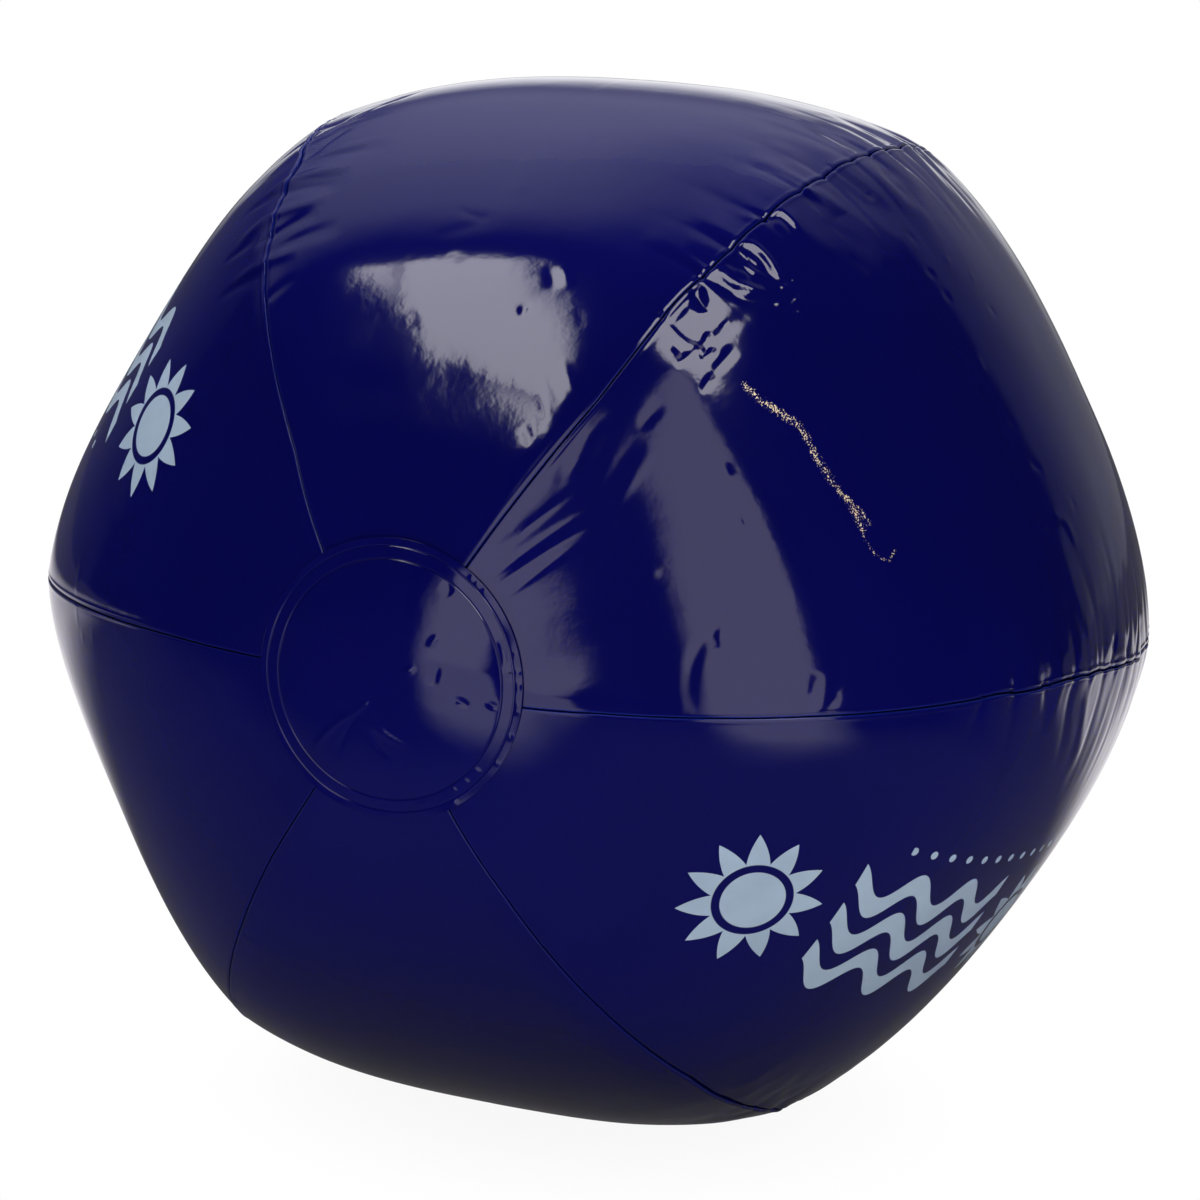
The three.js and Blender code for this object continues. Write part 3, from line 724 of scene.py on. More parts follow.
        ([(41.2, 140.1), (39.4, 139.2)], (0.8, 0.8), -0.14),
        ([(41.5, 140.3), (42.8, 140.6), (44.4, 140.9)], (1, 1.4), -0.16),
    ],
    (5, 6): [
        ([(56.9, 91.3), (56.2, 89.7), (55.8, 86)], (0.8, 2), -0.22, "end"),
        ([(60.9, 91.3), (60.4, 89.7), (59.9, 88.2)], (0.8, 1.6), -0.2, "end"),
        ([(65.4, 91.4), (66.2, 89.2), (66.6, 85.7)], (0.8, 2), -0.25, "end"),
        ([(71.3, 91.3), (70.5, 89.2), (71.6, 83.2)], (0.9, 2.4), -0.32, "end"),
        ([(68.6, 91.2), (68, 89.1), (68, 85.9)], (1.2, 2.4), 0.2, "end"),
    ],
    (6,): [
        ([(59.8, 27.1), (60.3, 30.6), (61.3, 33.6), (61.9, 36.9), (63.6, 39.9)], (0.7, 0.7), 0.09),
        ([(63.9, 33.9), (65.3, 35.8), (66.9, 37.3)], (0.6, 0.6), 0.1),
        ([(56, 31.2), (58.4, 34.9), (59.7, 39.9), (61.6, 43.7)], (2.4, 2.4), 0.16),
        ([(68.5, 36.3), (70.7, 39.2), (72.1, 41.9)], (0.7, 0.7), 0.1),
        ([(64, 30.6), (65.2, 31.5), (65.4, 32.7)], (0.6, 0.6), 0.1),
        ([(75.2, 91), (74.6, 88.1), (77.7, 80)], (1.3, 3), 0.3, "end"),
        ([(64.8, 30.7), (59.2, 36.6), (57.5, 41.4)], (1.4, 3), 0.3, "end"),
        ([(79.1, 91.2), (78.4, 86.5), (77, 77)], (0.9, 3), -0.4, "end"),
        ([(86.8, 90.8), (86.2, 86), (84.6, 77)], (0.9, 2.4), -0.4, "end"),
        ([(82.8, 90.6), (82, 86.2), (80.4, 78)], (1, 2.4), 0.26, "end"),
        ([(64.4, 29), (58.2, 33.4), (54.2, 40)], (1.4, 3), -0.3, "end"),
        ([(72.5, 31.5), (66.7, 37), (63.2, 44)], (1.4, 3), -0.3, "end"),
    ],
}
fold_paths = {number: [] for number in range(1, 7)}
for numbers, folds in FOLDS.items():
    for number in numbers:
        fold_paths[number] += [(smooth_path(places), *rest) for places, *rest in folds]
print("folds placed by hand:", sum(len(folds) for folds in FOLDS.values()))

# %% A slow undulation
UNEVEN = 0.00006


def undulation(points, seed=21):
    """Film is never quite even: gentle swells of 16 to 65 mm, about 0.06 mm high."""
    chance = np.random.default_rng(seed)
    total = np.zeros(points.shape[:-1])
    for _ in range(40):
        way = unit(chance.normal(size=3))
        length = chance.uniform(0.016, 0.065)
        phase = 2 * math.pi * (points @ way) / length + chance.uniform(0, 6.28)
        total += (length / 0.04) ** 1.6 * np.cos(phase)
    return UNEVEN * total / math.sqrt(20)

# %% Pinches along a seam
PINCH_HEIGHT = 0.08
PINCH_REACH = 0.9


def pinch_lift(polar, far, seam):
    """Bulges between the notches of a seam, fading away from it."""
    places = pinch_places(seam)
    chance = np.random.default_rng(abs(seam) + 5)
    heights = chance.uniform(0.35, 1.0, len(places)) * np.sin(np.radians(np.clip(places, 0, 180))) ** 3
    number, length, hump = between_pinches(seam, polar)
    return PINCH_HEIGHT * heights[number] * length * hump * np.exp(-far / (PINCH_REACH * length))

# %% [markdown]
# ## Making the panels
#
# Lifting a point straight out of the film would tear the seam, because the two panels face
# different ways there. So the direction turns, within a few millimetres of the seam, into the one
# that lies between them.

# %% Points of a panel
SEAM_REACH = 0.006


def seam_out(polar, side, middle, drift):
    """Direction straight out of the ball in the plane of a seam."""
    turn = side * HALF_PANEL
    along = film_point(polar + STEP, turn, middle + drift) - film_point(polar - STEP, turn, middle + drift)
    around = middle + turn + drift
    away = np.stack([np.cos(around), 0 * around, np.sin(around)], -1)
    return unit(np.cross(along, away))


def panel_surface(number, inner_steps):
    """The smooth panel's points, and for each the directions along, across and out of the film."""
    middle = math.radians(-60 * (number - 1))
    turn, far, depth = panel_columns(number, inner_steps)
    polar = np.broadcast_to(ROWS[:, None], turn.shape)
    base = film_point(polar, turn, middle)
    along, across, out = film_frame(polar, turn, middle)
    near = np.exp(-(far / SEAM_REACH) ** 2)[..., None]
    lift_way = out
    for s in (-1, 1):
        drift = seam_turn(seam_on(number, s), polar)
        beside = (np.sign(turn) == s)[..., None]
        straight = seam_out(polar, s, middle, drift)
        straight *= np.sign((straight * base).sum(-1, keepdims=True))
        lift_way = np.where(beside, out + (straight - out) * near, lift_way)
    lift_way = unit(lift_way)
    return dict(number=number, polar=polar, turn=turn, far=far, depth=depth,
                base=base, along=along, across=across, out=lift_way)


# For each seam: the polar angle at which the simulated puckers begin, and their strength.
PUCKERED = {150: (44, 0.7), 90: (60, 0.45), 30: (52, 0.6), -30: (56, 0.6), -90: (60, 0.7), -150: (48, 0.3)}
PUCKER_RISE = 14
PUCKER_END = (38, 52)
PUCKER_REACH = 0.026


def simulated_offset(panel):
    """Simulated puckers, strongest near the seams and none on the two poles."""
    if departures is None:
        return 0 * panel["base"]
    reach = np.concatenate([[0], np.cumsum(np.linalg.norm(np.diff(
        film_point(ROWS, 0 * ROWS), axis=0), axis=-1))])
    tip = polar_at(TIP_RADIUS) * POLE_RADIUS
    share = (reach + tip) / (reach[-1] + 2 * tip)
    row = np.broadcast_to((share * SIM_ROWS)[:, None], panel["turn"].shape)
    column = (panel["turn"] / HALF_PANEL + 1) / 2 * SIM_COLUMNS
    off = read_grid(departures[panel["number"] - 1], row, column)
    share = 0.0
    degrees = np.degrees(panel["polar"])
    for side in (-1, 1):
        start, strength = PUCKERED[seam_on(panel["number"], side)]
        mask = blend_in(degrees, start, start + PUCKER_RISE) * blend_in(180 - degrees, *PUCKER_END) * strength
        share = share + np.where(np.sign(panel["turn"]) == side, mask, 0)
    off = off * (share * (0.3 + 0.7 * np.exp(-(panel["far"] / PUCKER_REACH) ** 2)))[..., None]
    return off[..., :1] * panel["along"] + off[..., 1:2] * panel["across"] + off[..., 2:] * panel["out"]


def film_lift(panel):
    """Height of the pinches, the folds and the undulation over the smooth panel."""
    points = panel["base"]
    lift = np.zeros(points.shape[:-1])
    for s in (-1, 1):
        seam = seam_on(panel["number"], s)
        beside = np.sign(panel["turn"]) == s
        lift = lift + np.where(beside, pinch_lift(panel["polar"], panel["far"], seam), 0)
    for one_fold in fold_paths[panel["number"]]:
        lift += fold(points, *one_fold)
    return lift + undulation(points)


panels = {number: panel_surface(number, INNER_STEPS[number]) for number in range(1, 7)}
for number, panel in panels.items():
    panel["offset"] = simulated_offset(panel)

# %% The two panels of a seam meet
MEETING_REACH = 0.008
for number, panel in panels.items():
    after = panels[number % 6 + 1]
    # The seam on one side of a panel is the seam on the other side of the next panel.
    mine, theirs = panel["offset"][:, 0], after["offset"][:, -1]
    half = (theirs - mine) / 2
    near = np.exp(-panel["far"] / MEETING_REACH)[..., None] * (panel["turn"] < 0)[..., None]
    panel["offset"] = panel["offset"] + half[:, None] * near
    near = np.exp(-after["far"] / MEETING_REACH)[..., None] * (after["turn"] > 0)[..., None]
    after["offset"] = after["offset"] - half[:, None] * near
print("seam mismatch %.2f mm" % max(
    1000 * np.abs(p["offset"][:, 0] - panels[n % 6 + 1]["offset"][:, -1]).max() for n, p in panels.items()))

# %% Panel meshes
def sheet_mesh(name, outer, inner, closed_round=False, capped=False):
    """A closed thin sheet between two grids of points. A capped one has no hole in its middle."""
    rows, columns = outer.shape[:2]
    points = np.concatenate([outer.reshape(-1, 3), inner.reshape(-1, 3)])
    number = np.arange(rows * columns).reshape(rows, columns)
    back = number + rows * columns
    if closed_round:
        number = np.concatenate([number, number[:, :1]], 1)
        back = np.concatenate([back, back[:, :1]], 1)
    a, b, c, d = number[:-1, :-1], number[1:, :-1], number[1:, 1:], number[:-1, 1:]
    faces = [np.stack([a, b, c, d], -1).reshape(-1, 4)]
    a, b, c, d = back[:-1, :-1], back[:-1, 1:], back[1:, 1:], back[1:, :-1]
    faces.append(np.stack([a, b, c, d], -1).reshape(-1, 4))
    edges = [(number[-1], back[-1])]
    if not capped:
        edges.append((number[0, ::-1], back[0, ::-1]))
    if not closed_round:
        edges += [(number[:, 0], back[:, 0]), (number[::-1, -1], back[::-1, -1])]
    for front_edge, back_edge in edges:
        faces.append(np.stack([front_edge[:-1], back_edge[:-1], back_edge[1:], front_edge[1:]], -1))
    faces = np.concatenate(faces).tolist()
    if capped:
        faces += [number[0, :-1].tolist(), back[0, :-1].tolist()[::-1]]
    mesh = bpy.data.meshes.new(name)
    mesh.from_pydata((points + centre).tolist(), [], faces)
    mesh.update()
    mesh.polygons.foreach_set("use_smooth", np.ones(len(mesh.polygons), bool))
    return added(name, mesh)


def surface_normals(grid):
    along = np.gradient(grid, axis=0)
    across = np.gradient(grid, axis=1)
    return unit(np.cross(along, across) + 1e-15)


def add_attribute(made, name, values):
    """The same values on both faces of a sheet."""
    layer = made.data.attributes.new(name, "FLOAT", "POINT")
    layer.data.foreach_set("value", np.concatenate([values.ravel(), values.ravel()]).astype(np.float32))


# Streaks of gold speckles on panel 5, in degrees along and around, each with its distance from the
# streak's middle counted this many times.
GOLD_STREAKS = [
    ([(43.0, 136.4), (43.3, 134.2), (44.4, 131.0), (45.4, 128.0), (45.4, 124.5), (45.7, 121.8),
      (46.1, 118.8), (46.8, 116.4), (46.9, 113.0)], 1.0),
    ([(47.0, 116.9), (47.6, 115.1), (48.0, 112.8)], 1.6),
    ([(46.7, 113.9), (46.9, 111.5), (47.5, 109.5), (48.6, 108.5), (49.7, 109.6)], 2.6),
]
OFF_STREAK = 0.05

# The weld shows as a bright blue line on one seam, and hardly on the others.
BRIGHT_WELD = {90: 0.7, 150: 0.3, -150: 0.35}


def make_panel(number):
    panel = panels[number]
    lift = film_lift(panel)
    far, depth = panel["far"], panel["depth"]
    degrees = np.degrees(panel["polar"])
    radius = ROLL * (0.5 + 0.5 * blend_in(degrees, *ROLL_ZONE))
    roll = radius - np.sqrt(np.clip(radius ** 2 - np.clip(radius - far, 0, radius) ** 2, 0, None))
    drop = np.maximum(roll, np.broadcast_to(depth, far.shape))
    lip = LIP * np.exp(-((far - LIP_PLACE) / LIP_WIDTH) ** 2) * blend_in(degrees, *LIP_ZONE)
    outer = panel["base"] + panel["offset"] + panel["out"] * (lift + lip - drop)[..., None]
    normals = surface_normals(outer)
    inner = outer - normals * FILM
    if number == 1:
        outer[..., 2] = np.maximum(outer[..., 2], -centre[2])
        inner[..., 2] = np.maximum(inner[..., 2], FILM - centre[2])
    made = sheet_mesh("film_panel_%d" % number, outer, inner)
    along = np.broadcast_to((ROWS - math.pi / 2)[:, None] * FLAT_RADIUS, far.shape)
    add_attribute(made, "along", along)
    wide = panel["turn"] * np.linalg.norm(film_point(panel["polar"], 0 * panel["polar"])[..., ::2], axis=-1)
    add_attribute(made, "across", wide)
    strength = [BRIGHT_WELD.get(seam_on(number, s), 0.2) for s in (-1, 1)]
    strength = np.where(panel["turn"] < 0, strength[0], strength[1])
    add_attribute(made, "weld", strength * (1 - blend_in(far, 0.0, WELD_LINE)))
    if number not in (3, 6):
        streak_distance = np.full(far.shape, OFF_STREAK)
        for places, times in GOLD_STREAKS if number == 5 else ():
            streak_distance = np.minimum(streak_distance, path_distance(outer, smooth_path(places))[0] * times)
        add_attribute(made, "gold_streak", streak_distance)
    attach(made, "ball")
    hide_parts("panel_%d" % number)
    return made


film_panels = {number: make_panel(number) for number in range(1, 7)}
print("faces in the panels:", sum(len(p.data.polygons) for p in film_panels.values()))

# %% [markdown]
# ## Pole discs
#
# Where six panel tips meet there would be a thick knot, so a round disc is welded over them. It
# shows a shallow dome, where the air pushes it out, two fine lines pressed by the ring of the
# welding tool, beads of film pressed out beside them, and a free edge about 2 mm wide outside the
# weld. The plain disc also has creases and dents of its own, placed like the panels' folds.

# %% Disc shape
DISC_LIFT = GAP + FILM
TOOL_LINES = (0.0278, 0.0307)
LINE_SIZE = 0.00016
BEADS = 26
BEAD_RADII = (0.0293, 0.0316)
RIM = 0.0309
RIM_WIDTH = 0.0016
RIM_CURL = 0.0001
FRONT_DOME = 0.0011
BACK_DOME = 0.0004
VALVE_HOLE = 0.0099
DISC_FOLDS = [
    ([(10.5, -42.6), (8.5, -44.4), (6.4, -44.5), (4.9, -42.2), (3.8, -36.4)], (0.9, 0.6), 0.22),
    ([(9.0, -28.1), (7.9, -31.5), (6.8, -33.2), (5.8, -34.3), (4.7, -35.8)], (0.8, 0.6), -0.198),
    ([(4.2, -20.0), (4.5, -4.9), (5.1, 7.2), (5.7, 16.8), (6.3, 25.0)], (0.9, 0.6), 0.22),
    ([(4.9, -10.5), (5.7, -4.5), (6.5, 1.6), (7.2, 9.6)], (0.8, 0.6), -0.176),
    ([(4.4, -40.5), (3.4, -38.0), (2.4, -33.2)], (0.9, 0.7), 0.22),
    ([(2.4, 117.4), (2.7, 118.9), (3.1, 120.0)], (0.6, 0.6), 0.264),
    ([(7.1, 85.3), (7.7, 82.7), (8.4, 81.2)], (0.9, 0.8), -0.22),
    ([(10.0, 86.0), (10.5, 84.9), (10.9, 83.4)], (0.8, 0.7), -0.198),
    ([(10.9, 153.1), (10.7, 149.7), (10.4, 146.4)], (0.9, 0.8), -0.22),
    ([(5.8, 132.3), (6.4, 133.6), (6.9, 134.6)], (0.8, 0.7), 0.176),
    ([(4.8, 92.9), (5.1, 103.5), (5.6, 112.5)], (0.8, 0.7), -0.154),
    ([(11.8, 115.6), (11.7, 108.8), (11.6, 101.1)], (0.9, 0.8), -0.176),
    ([(9.5, -105.2), (9.1, -118.4), (8.9, -133.1)], (1.4, 1.2), 0.11),
    ([(6.2, -64.8), (5.0, -53.6), (3.8, -46.4)], (1, 0.8), -0.132),
]


def disc_surface(end, dome, rings, steps=480):
    """Outer grid of a disc. end is -1 for the plain disc and +1 for the valve's."""
    chance = np.random.default_rng(3 if end < 0 else 4)
    radius = np.array(rings)[:, None]
    around = np.linspace(0, 2 * math.pi, steps, endpoint=False)[None, :]
    polar = polar_at(radius) + 0 * around
    turn = turn_in_panel(around) + 0 * radius
    middle = around - turn_in_panel(around)
    base = film_point(polar, turn, middle)
    _, _, out = film_frame(polar, turn, middle)
    lift = DISC_LIFT + dome * np.clip(1 - (radius / TOOL_LINES[0]) ** 2, 0, 1) ** 0.75
    for line in TOOL_LINES:
        lift = lift - LINE_SIZE * np.exp(-((radius - line) / LINE_SIZE) ** 2)
    ripple = sum(chance.uniform(0.3, 1) * np.sin(k * around + chance.uniform(0, 6.3))
                 for k in (3, 5, 8, 13))
    edge = np.clip((radius - RIM) / RIM_WIDTH, 0, 1)
    lift = lift + RIM_CURL * edge * (1.2 + ripple)
    for at in chance.uniform(-0.6, 2.6, BEADS):
        out_at, size = chance.choice(BEAD_RADII), chance.uniform(0.00035, 0.0006)
        off = ((radius - out_at) ** 2 + (radius * (around - at)) ** 2) / size ** 2
        lift = lift + 0.25 * size * np.exp(-off)
    if end < 0:
        for places, *rest in DISC_FOLDS:
            lift = lift + fold(base, smooth_path(places), *rest)
    grid = base + out * (lift + 0 * polar)[..., None]
    if end > 0:
        grid = grid * (-1, -1, 1)
    return grid


disc_rings = [0.0004, *np.arange(0.0012, 0.0270, 0.0008)]
for line in TOOL_LINES:
    disc_rings += [line + shift * 0.0001 for shift in (-5, -3.5, -2.5, -1.6, -0.8, 0, 0.8, 1.6, 2.5, 3.5, 5)]
disc_rings = sorted([*disc_rings, 0.0288, 0.0293, 0.0298, 0.0316, 0.0320, 0.0323, 0.03245, 0.0325])
front = disc_surface(-1, FRONT_DOME, disc_rings)
front_inner = front - surface_normals(front) * FILM
front_disc = sheet_mesh("front_pole_disc", front, front_inner, closed_round=True, capped=True)
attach(front_disc, "ball")
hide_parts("front_disc")
valve_rings = [VALVE_HOLE, 0.0102, 0.0107, 0.0115, 0.0125] + [r for r in disc_rings if r > 0.0133]
back = disc_surface(1, BACK_DOME, valve_rings)
back_inner = back - surface_normals(back) * FILM
valve_disc = sheet_mesh("valve_pole_disc", back, back_inner, closed_round=True)
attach(valve_disc, "ball")
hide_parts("valve_disc")
print("rings in the discs:", len(disc_rings), "and", len(valve_rings))

# %% [markdown]
# ## Finishes
#
# A node tree is a sum written with wires. To keep it readable, a wire is wrapped in a small class
# here, so that sums on wires are typed as sums on numbers and each adds its Math node.

# %% A wire that can be added and multiplied
class Wire:
    """One socket of a node tree. Sums of wires and numbers add Math nodes."""

    def __init__(self, tree, socket):
        self.tree, self.socket = tree, socket

    @classmethod
    def node(cls, tree, kind, settings=None, values=None, out=0):
        """Adds a node: its settings first, then its sockets' values or links."""
        made = tree.nodes.new(kind)
        for name, value in (settings or {}).items():
            setattr(made, name, value)
        for name, value in (values or {}).items():
            socket = made.inputs[name]
            if isinstance(value, Wire):
                tree.links.new(value.socket, socket)
            else:
                socket.default_value = value
        return cls(tree, made.outputs[out])

    def out(self, name):
        """Another output of the node that this wire comes from."""
        return Wire(self.tree, self.socket.node.outputs[name])

    def math(self, operation, *others):
        values = {i: v for i, v in enumerate((self, *others))}
        return Wire.node(self.tree, "ShaderNodeMath", {"operation": operation}, values)

    def __add__(self, other):
        return self.math("ADD", other)

    __radd__ = __add__

    def __mul__(self, other):
        return self.math("MULTIPLY", other)

    __rmul__ = __mul__

    def __sub__(self, other):
        return self.math("SUBTRACT", other)

    def __rsub__(self, other):
        return (self * -1) + other

    def __truediv__(self, other):
        return self.math("DIVIDE", other)

    def __pow__(self, other):
        return self.math("POWER", other)

    def __abs__(self):
        return self.math("ABSOLUTE")

    def clamp(self, low=0.0, high=1.0):
        return self.math("MAXIMUM", low).math("MINIMUM", high)

    def larger(self, other):
        return self.math("MAXIMUM", other)

    def soft(self, start, end):
        """0 at start and 1 at end, rounded at both."""
        return Wire.node(self.tree, "ShaderNodeMapRange", {"interpolation_type": "SMOOTHSTEP"},
                         {"Value": self, "From Min": start, "From Max": end})

# %% New materials
def empty_tree(owner):
    """The node tree of a material or world, with nothing in it."""
    owner.use_nodes = True
    owner.node_tree.nodes.clear()
    return owner.node_tree


def show(tree, socket, kind="ShaderNodeOutputMaterial"):
    """Links a shader to a new output node."""
    output = tree.nodes.new(kind)
    tree.links.new(socket, output.inputs["Surface"])


def new_material(name):
    material = bpy.data.materials.new(name)
    tree = empty_tree(material)
    shader = tree.nodes.new("ShaderNodeBsdfPrincipled")
    show(tree, shader.outputs[0])
    return material, tree, shader


def plug_in(tree, shader, socket, value):
    if isinstance(value, Wire):
        tree.links.new(value.socket, shader.inputs[socket])
    else:
        shader.inputs[socket].default_value = value


def mixed(tree, factor, a, b):
    """A colour between two colours or colour wires."""
    return Wire.node(tree, "ShaderNodeMix", {"data_type": "RGBA"}, {0: factor, 6: a, 7: b}, 2)


def position(tree):
    return Wire.node(tree, "ShaderNodeNewGeometry", out="Position")


def noise(tree, at, scale, detail):
    return Wire.node(tree, "ShaderNodeTexNoise", {}, {"Vector": at, "Scale": scale, "Detail": detail})


def attribute(tree, name):
    """A value that the mesh carries."""
    return Wire.node(tree, "ShaderNodeAttribute", {"attribute_name": name}, out="Fac")


def dimmed(colour, red, green, blue):
    return (colour[0] * red, colour[1] * green, colour[2] * blue, 1)

# %% Glossy navy film
NAVY = (0.0019, 0.0021, 0.085, 1)
WELD_BLUE = (0.008, 0.024, 0.26, 1)
PRINT = (0.39, 0.49, 0.62, 1)
GOLD = (0.92, 0.76, 0.50, 1)

# The print, in metres on the film.
INK_EDGE = 0.00012
SUN_EVERY = 0.105
SUN_FROM = 0.118
SUN_RADIUS = 0.0078
RAYS = 11
RAY_START = 0.0098
RAY_END = 0.0102
RAY_LENGTH = 0.0075
WAVE_LENGTH = 0.021
WAVE_HEIGHT = 0.0042
STRIPE_HALF = 0.0031
STRIPE_GAP = 0.0225
DOT_EVERY = 0.007
DOT_RADIUS = 0.0011
DOT_ROW = 0.0245


def beyond(distance, size):
    """0 nearer than a size and 1 farther, with the ink's slightly soft edge between."""
    return distance.soft(size - INK_EDGE, size + INK_EDGE)


def sun_and_wave_print(along, across):
    """1 on the ink: suns with pointed rays, with wave stripes between, and a row of dots."""
    step = (along + SUN_FROM).math("WRAP", -SUN_EVERY / 2, SUN_EVERY / 2)
    from_sun = (step * step + across * across) ** 0.5
    ray = (across.math("ARCTAN2", step) * (RAYS / (2 * math.pi)) + RAYS).math("FRACT")
    ray = 1 - abs(ray - 0.5) * 2
    disc = 1 - beyond(from_sun, SUN_RADIUS)
    rays = beyond(from_sun, RAY_START) * (1 - beyond(from_sun - ray * RAY_LENGTH, RAY_END))
    swing = (step * (2 * math.pi / WAVE_LENGTH)).math("COSINE") * WAVE_HEIGHT
    stripes = 0
    for shift in (-0.0115, 0.0, 0.0115):
        stripes = (1 - beyond(abs(across - swing - shift), STRIPE_HALF)) + stripes
    stripes = stripes * beyond(abs(step), STRIPE_GAP)
    dot = (along.math("WRAP", -DOT_EVERY / 2, DOT_EVERY / 2) ** 2 + (across - DOT_ROW) ** 2) ** 0.5
    dots = (1 - beyond(dot, DOT_RADIUS)) * (1 - abs(along + 0.02).soft(0.0645, 0.0648))
    inside = 1 - abs(along).soft(0.1372, 0.1375)
    return ((disc + rays + stripes) * inside + dots).clamp()


def film_finish(name, printed):
    """Film with slow clouds of colour, brighter at a weld, and either printed or gold-speckled in streaks."""
    material, tree, shader = new_material(name)
    at = position(tree)
    cloudy = noise(tree, at, 14.0, 2.0)
    colour = mixed(tree, cloudy.soft(0.3, 0.75), NAVY, dimmed(NAVY, 1.15, 1.2, 1.12))
    colour = mixed(tree, attribute(tree, "weld"), colour, WELD_BLUE)
    roughness = cloudy * 0.03 + 0.05
    if printed:
        ink = sun_and_wave_print(attribute(tree, "along"), attribute(tree, "across"))
        thin = noise(tree, at, 60.0, 4.0)
        ink_colour = mixed(tree, thin.soft(0.35, 0.7), PRINT, dimmed(PRINT, 0.9, 0.91, 0.92))
        colour = mixed(tree, ink, colour, ink_colour)
        roughness = roughness + ink * 0.12
    else:
        # A streak of gold speckles: gold colour, a little metal and more roughness along the listed paths.
        grains = noise(tree, at, 2600.0, 1.0)
        clumps = noise(tree, at, 420.0, 2.0)
        spread = 1 - attribute(tree, "gold_streak").soft(0.0, 0.0015)
        gold_specks = (grains + spread * spread * 0.17 + clumps * 0.3).soft(0.82, 0.86) * spread.soft(0.02, 0.2)
        colour = mixed(tree, gold_specks, colour, GOLD)
        plug_in(tree, shader, "Metallic", gold_specks * 0.3)
        roughness = roughness + gold_specks * 0.25
    plug_in(tree, shader, "Base Color", colour)
    plug_in(tree, shader, "Roughness", roughness)
    height = noise(tree, at, 160.0, 3.0) + noise(tree, at, 1100.0, 1.0) * 0.015
    bump = Wire.node(tree, "ShaderNodeBump", {}, {"Height": height, "Distance": 0.00006, "Strength": 0.6})
    plug_in(tree, shader, "Normal", bump)
    shader.inputs["IOR"].default_value = 1.5
    return material


plain_film = film_finish("navy_film", False)
print_film = film_finish("navy_film_printed", True)
for number, made in film_panels.items():
    printed = number in (3, 6)
    made.data.materials.append(print_film if printed else plain_film)
for made in (front_disc, valve_disc):
    add_attribute(made, "weld", np.zeros(len(made.data.vertices) // 2))
    add_attribute(made, "gold_streak", np.full(len(made.data.vertices) // 2, OFF_STREAK))
    made.data.materials.append(plain_film)
print("film nodes:", len(plain_film.node_tree.nodes), "plain,", len(print_film.node_tree.nodes), "printed")

# %% [markdown]
# ## Valve
#
# The valve is soft milky vinyl in five parts: a flange welded under the disc, a thin skirt that
# rolls when the valve is pushed in or pulled out, the tube, the plug on its strap, and a flap
# that the air inside holds shut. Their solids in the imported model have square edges, and a
# moulded part has none. So each part is made again as a stack of rings: an outline turned about
# the valve's axis, or a flat tongue whose edges are rounded. The tube and the plug are a turned
# part and tongues together. Remeshing makes one skin of them, and easing it leaves the small
# fillets that a mould would leave.

# %% Tools for moulded parts
DISC_FACE = 0.1431


def valve_place(x, height, z):
    """Metres from millimetres beside, above and over the middle of the valve disc's face."""
    parts = (x * 0.001, DISC_FACE + height * 0.001, centre[2] + z * 0.001)
    return np.stack(np.broadcast_arrays(*parts), -1)


def rounded(outline, cuts, steps=5):
    """A closed outline in mm. Each corner is cut back by its own length and bent round."""
    outline = np.array(outline, float)
    bent = []
    for i, corner in enumerate(outline):
        before, after = outline[i - 1] - corner, outline[(i + 1) % len(outline)] - corner
        cut = cuts[i] if isinstance(cuts, (list, tuple)) else cuts
        if cut == 0:
            bent.append(corner)
            continue
        start = corner + unit(before) * min(cut, 0.45 * np.linalg.norm(before))
        end = corner + unit(after) * min(cut, 0.45 * np.linalg.norm(after))
        for t in np.linspace(0, 1, steps + 1):
            bent.append((1 - t) ** 2 * start + 2 * t * (1 - t) * corner + t * t * end)
    return np.array(bent)


def skin(name, rings, loop=False):
    """Faces over a stack of rings. Its ends get lids, or meet each other in a loop."""
    count, around = rings.shape[:2]
    number = np.arange(count * around).reshape(count, around)
    number = np.concatenate([number, number[:, :1]], 1)
    if loop:
        number = np.concatenate([number, number[:1]], 0)
    faces = np.stack([number[:-1, :-1], number[1:, :-1], number[1:, 1:], number[:-1, 1:]], -1)
    faces = faces.reshape(-1, 4).tolist()
    if not loop:
        faces += [number[0, :-1].tolist(), number[-1, :-1].tolist()]
    mesh = bpy.data.meshes.new(name)
    mesh.from_pydata(rings.reshape(-1, 3).tolist(), [], faces)
    form = bmesh.new()
    form.from_mesh(mesh)
    bmesh.ops.recalc_face_normals(form, faces=form.faces)
    form.to_mesh(mesh)
    form.free()
    mesh.polygons.foreach_set("use_smooth", np.ones(len(mesh.polygons), bool))
    return added(name, mesh)


def turned_part(name, outline, loop=True, steps=96):
    """An outline of (radius, height) in mm, turned about the valve's axis."""
    around = np.linspace(0, 2 * math.pi, steps, endpoint=False)[None, :]
    radius, height = outline[:, :1], outline[:, 1:]
    return skin(name, valve_place(radius * np.sin(around), height, radius * np.cos(around)), loop)


def tongue(name, outline, low, high, edge):
    """An outline of (x, z) in mm between two heights, with round edges."""
    ahead = np.roll(outline, -1, 0) - np.roll(outline, 1, 0)
    inward = unit(np.stack([-ahead[:, 1], ahead[:, 0]], -1))
    inward *= np.sign(((outline.mean(0) - outline) * inward).sum())
    rings = []
    for start, turns in ((low + edge, (-90, -60, -30, 0)), (high - edge, (0, 30, 60, 90))):
        for turn in np.radians(turns):
            inset = outline + inward * edge * (1 - math.cos(turn))
            rings.append(valve_place(inset[:, 0], start + edge * math.sin(turn), inset[:, 1]))
    return skin(name, np.array(rings))


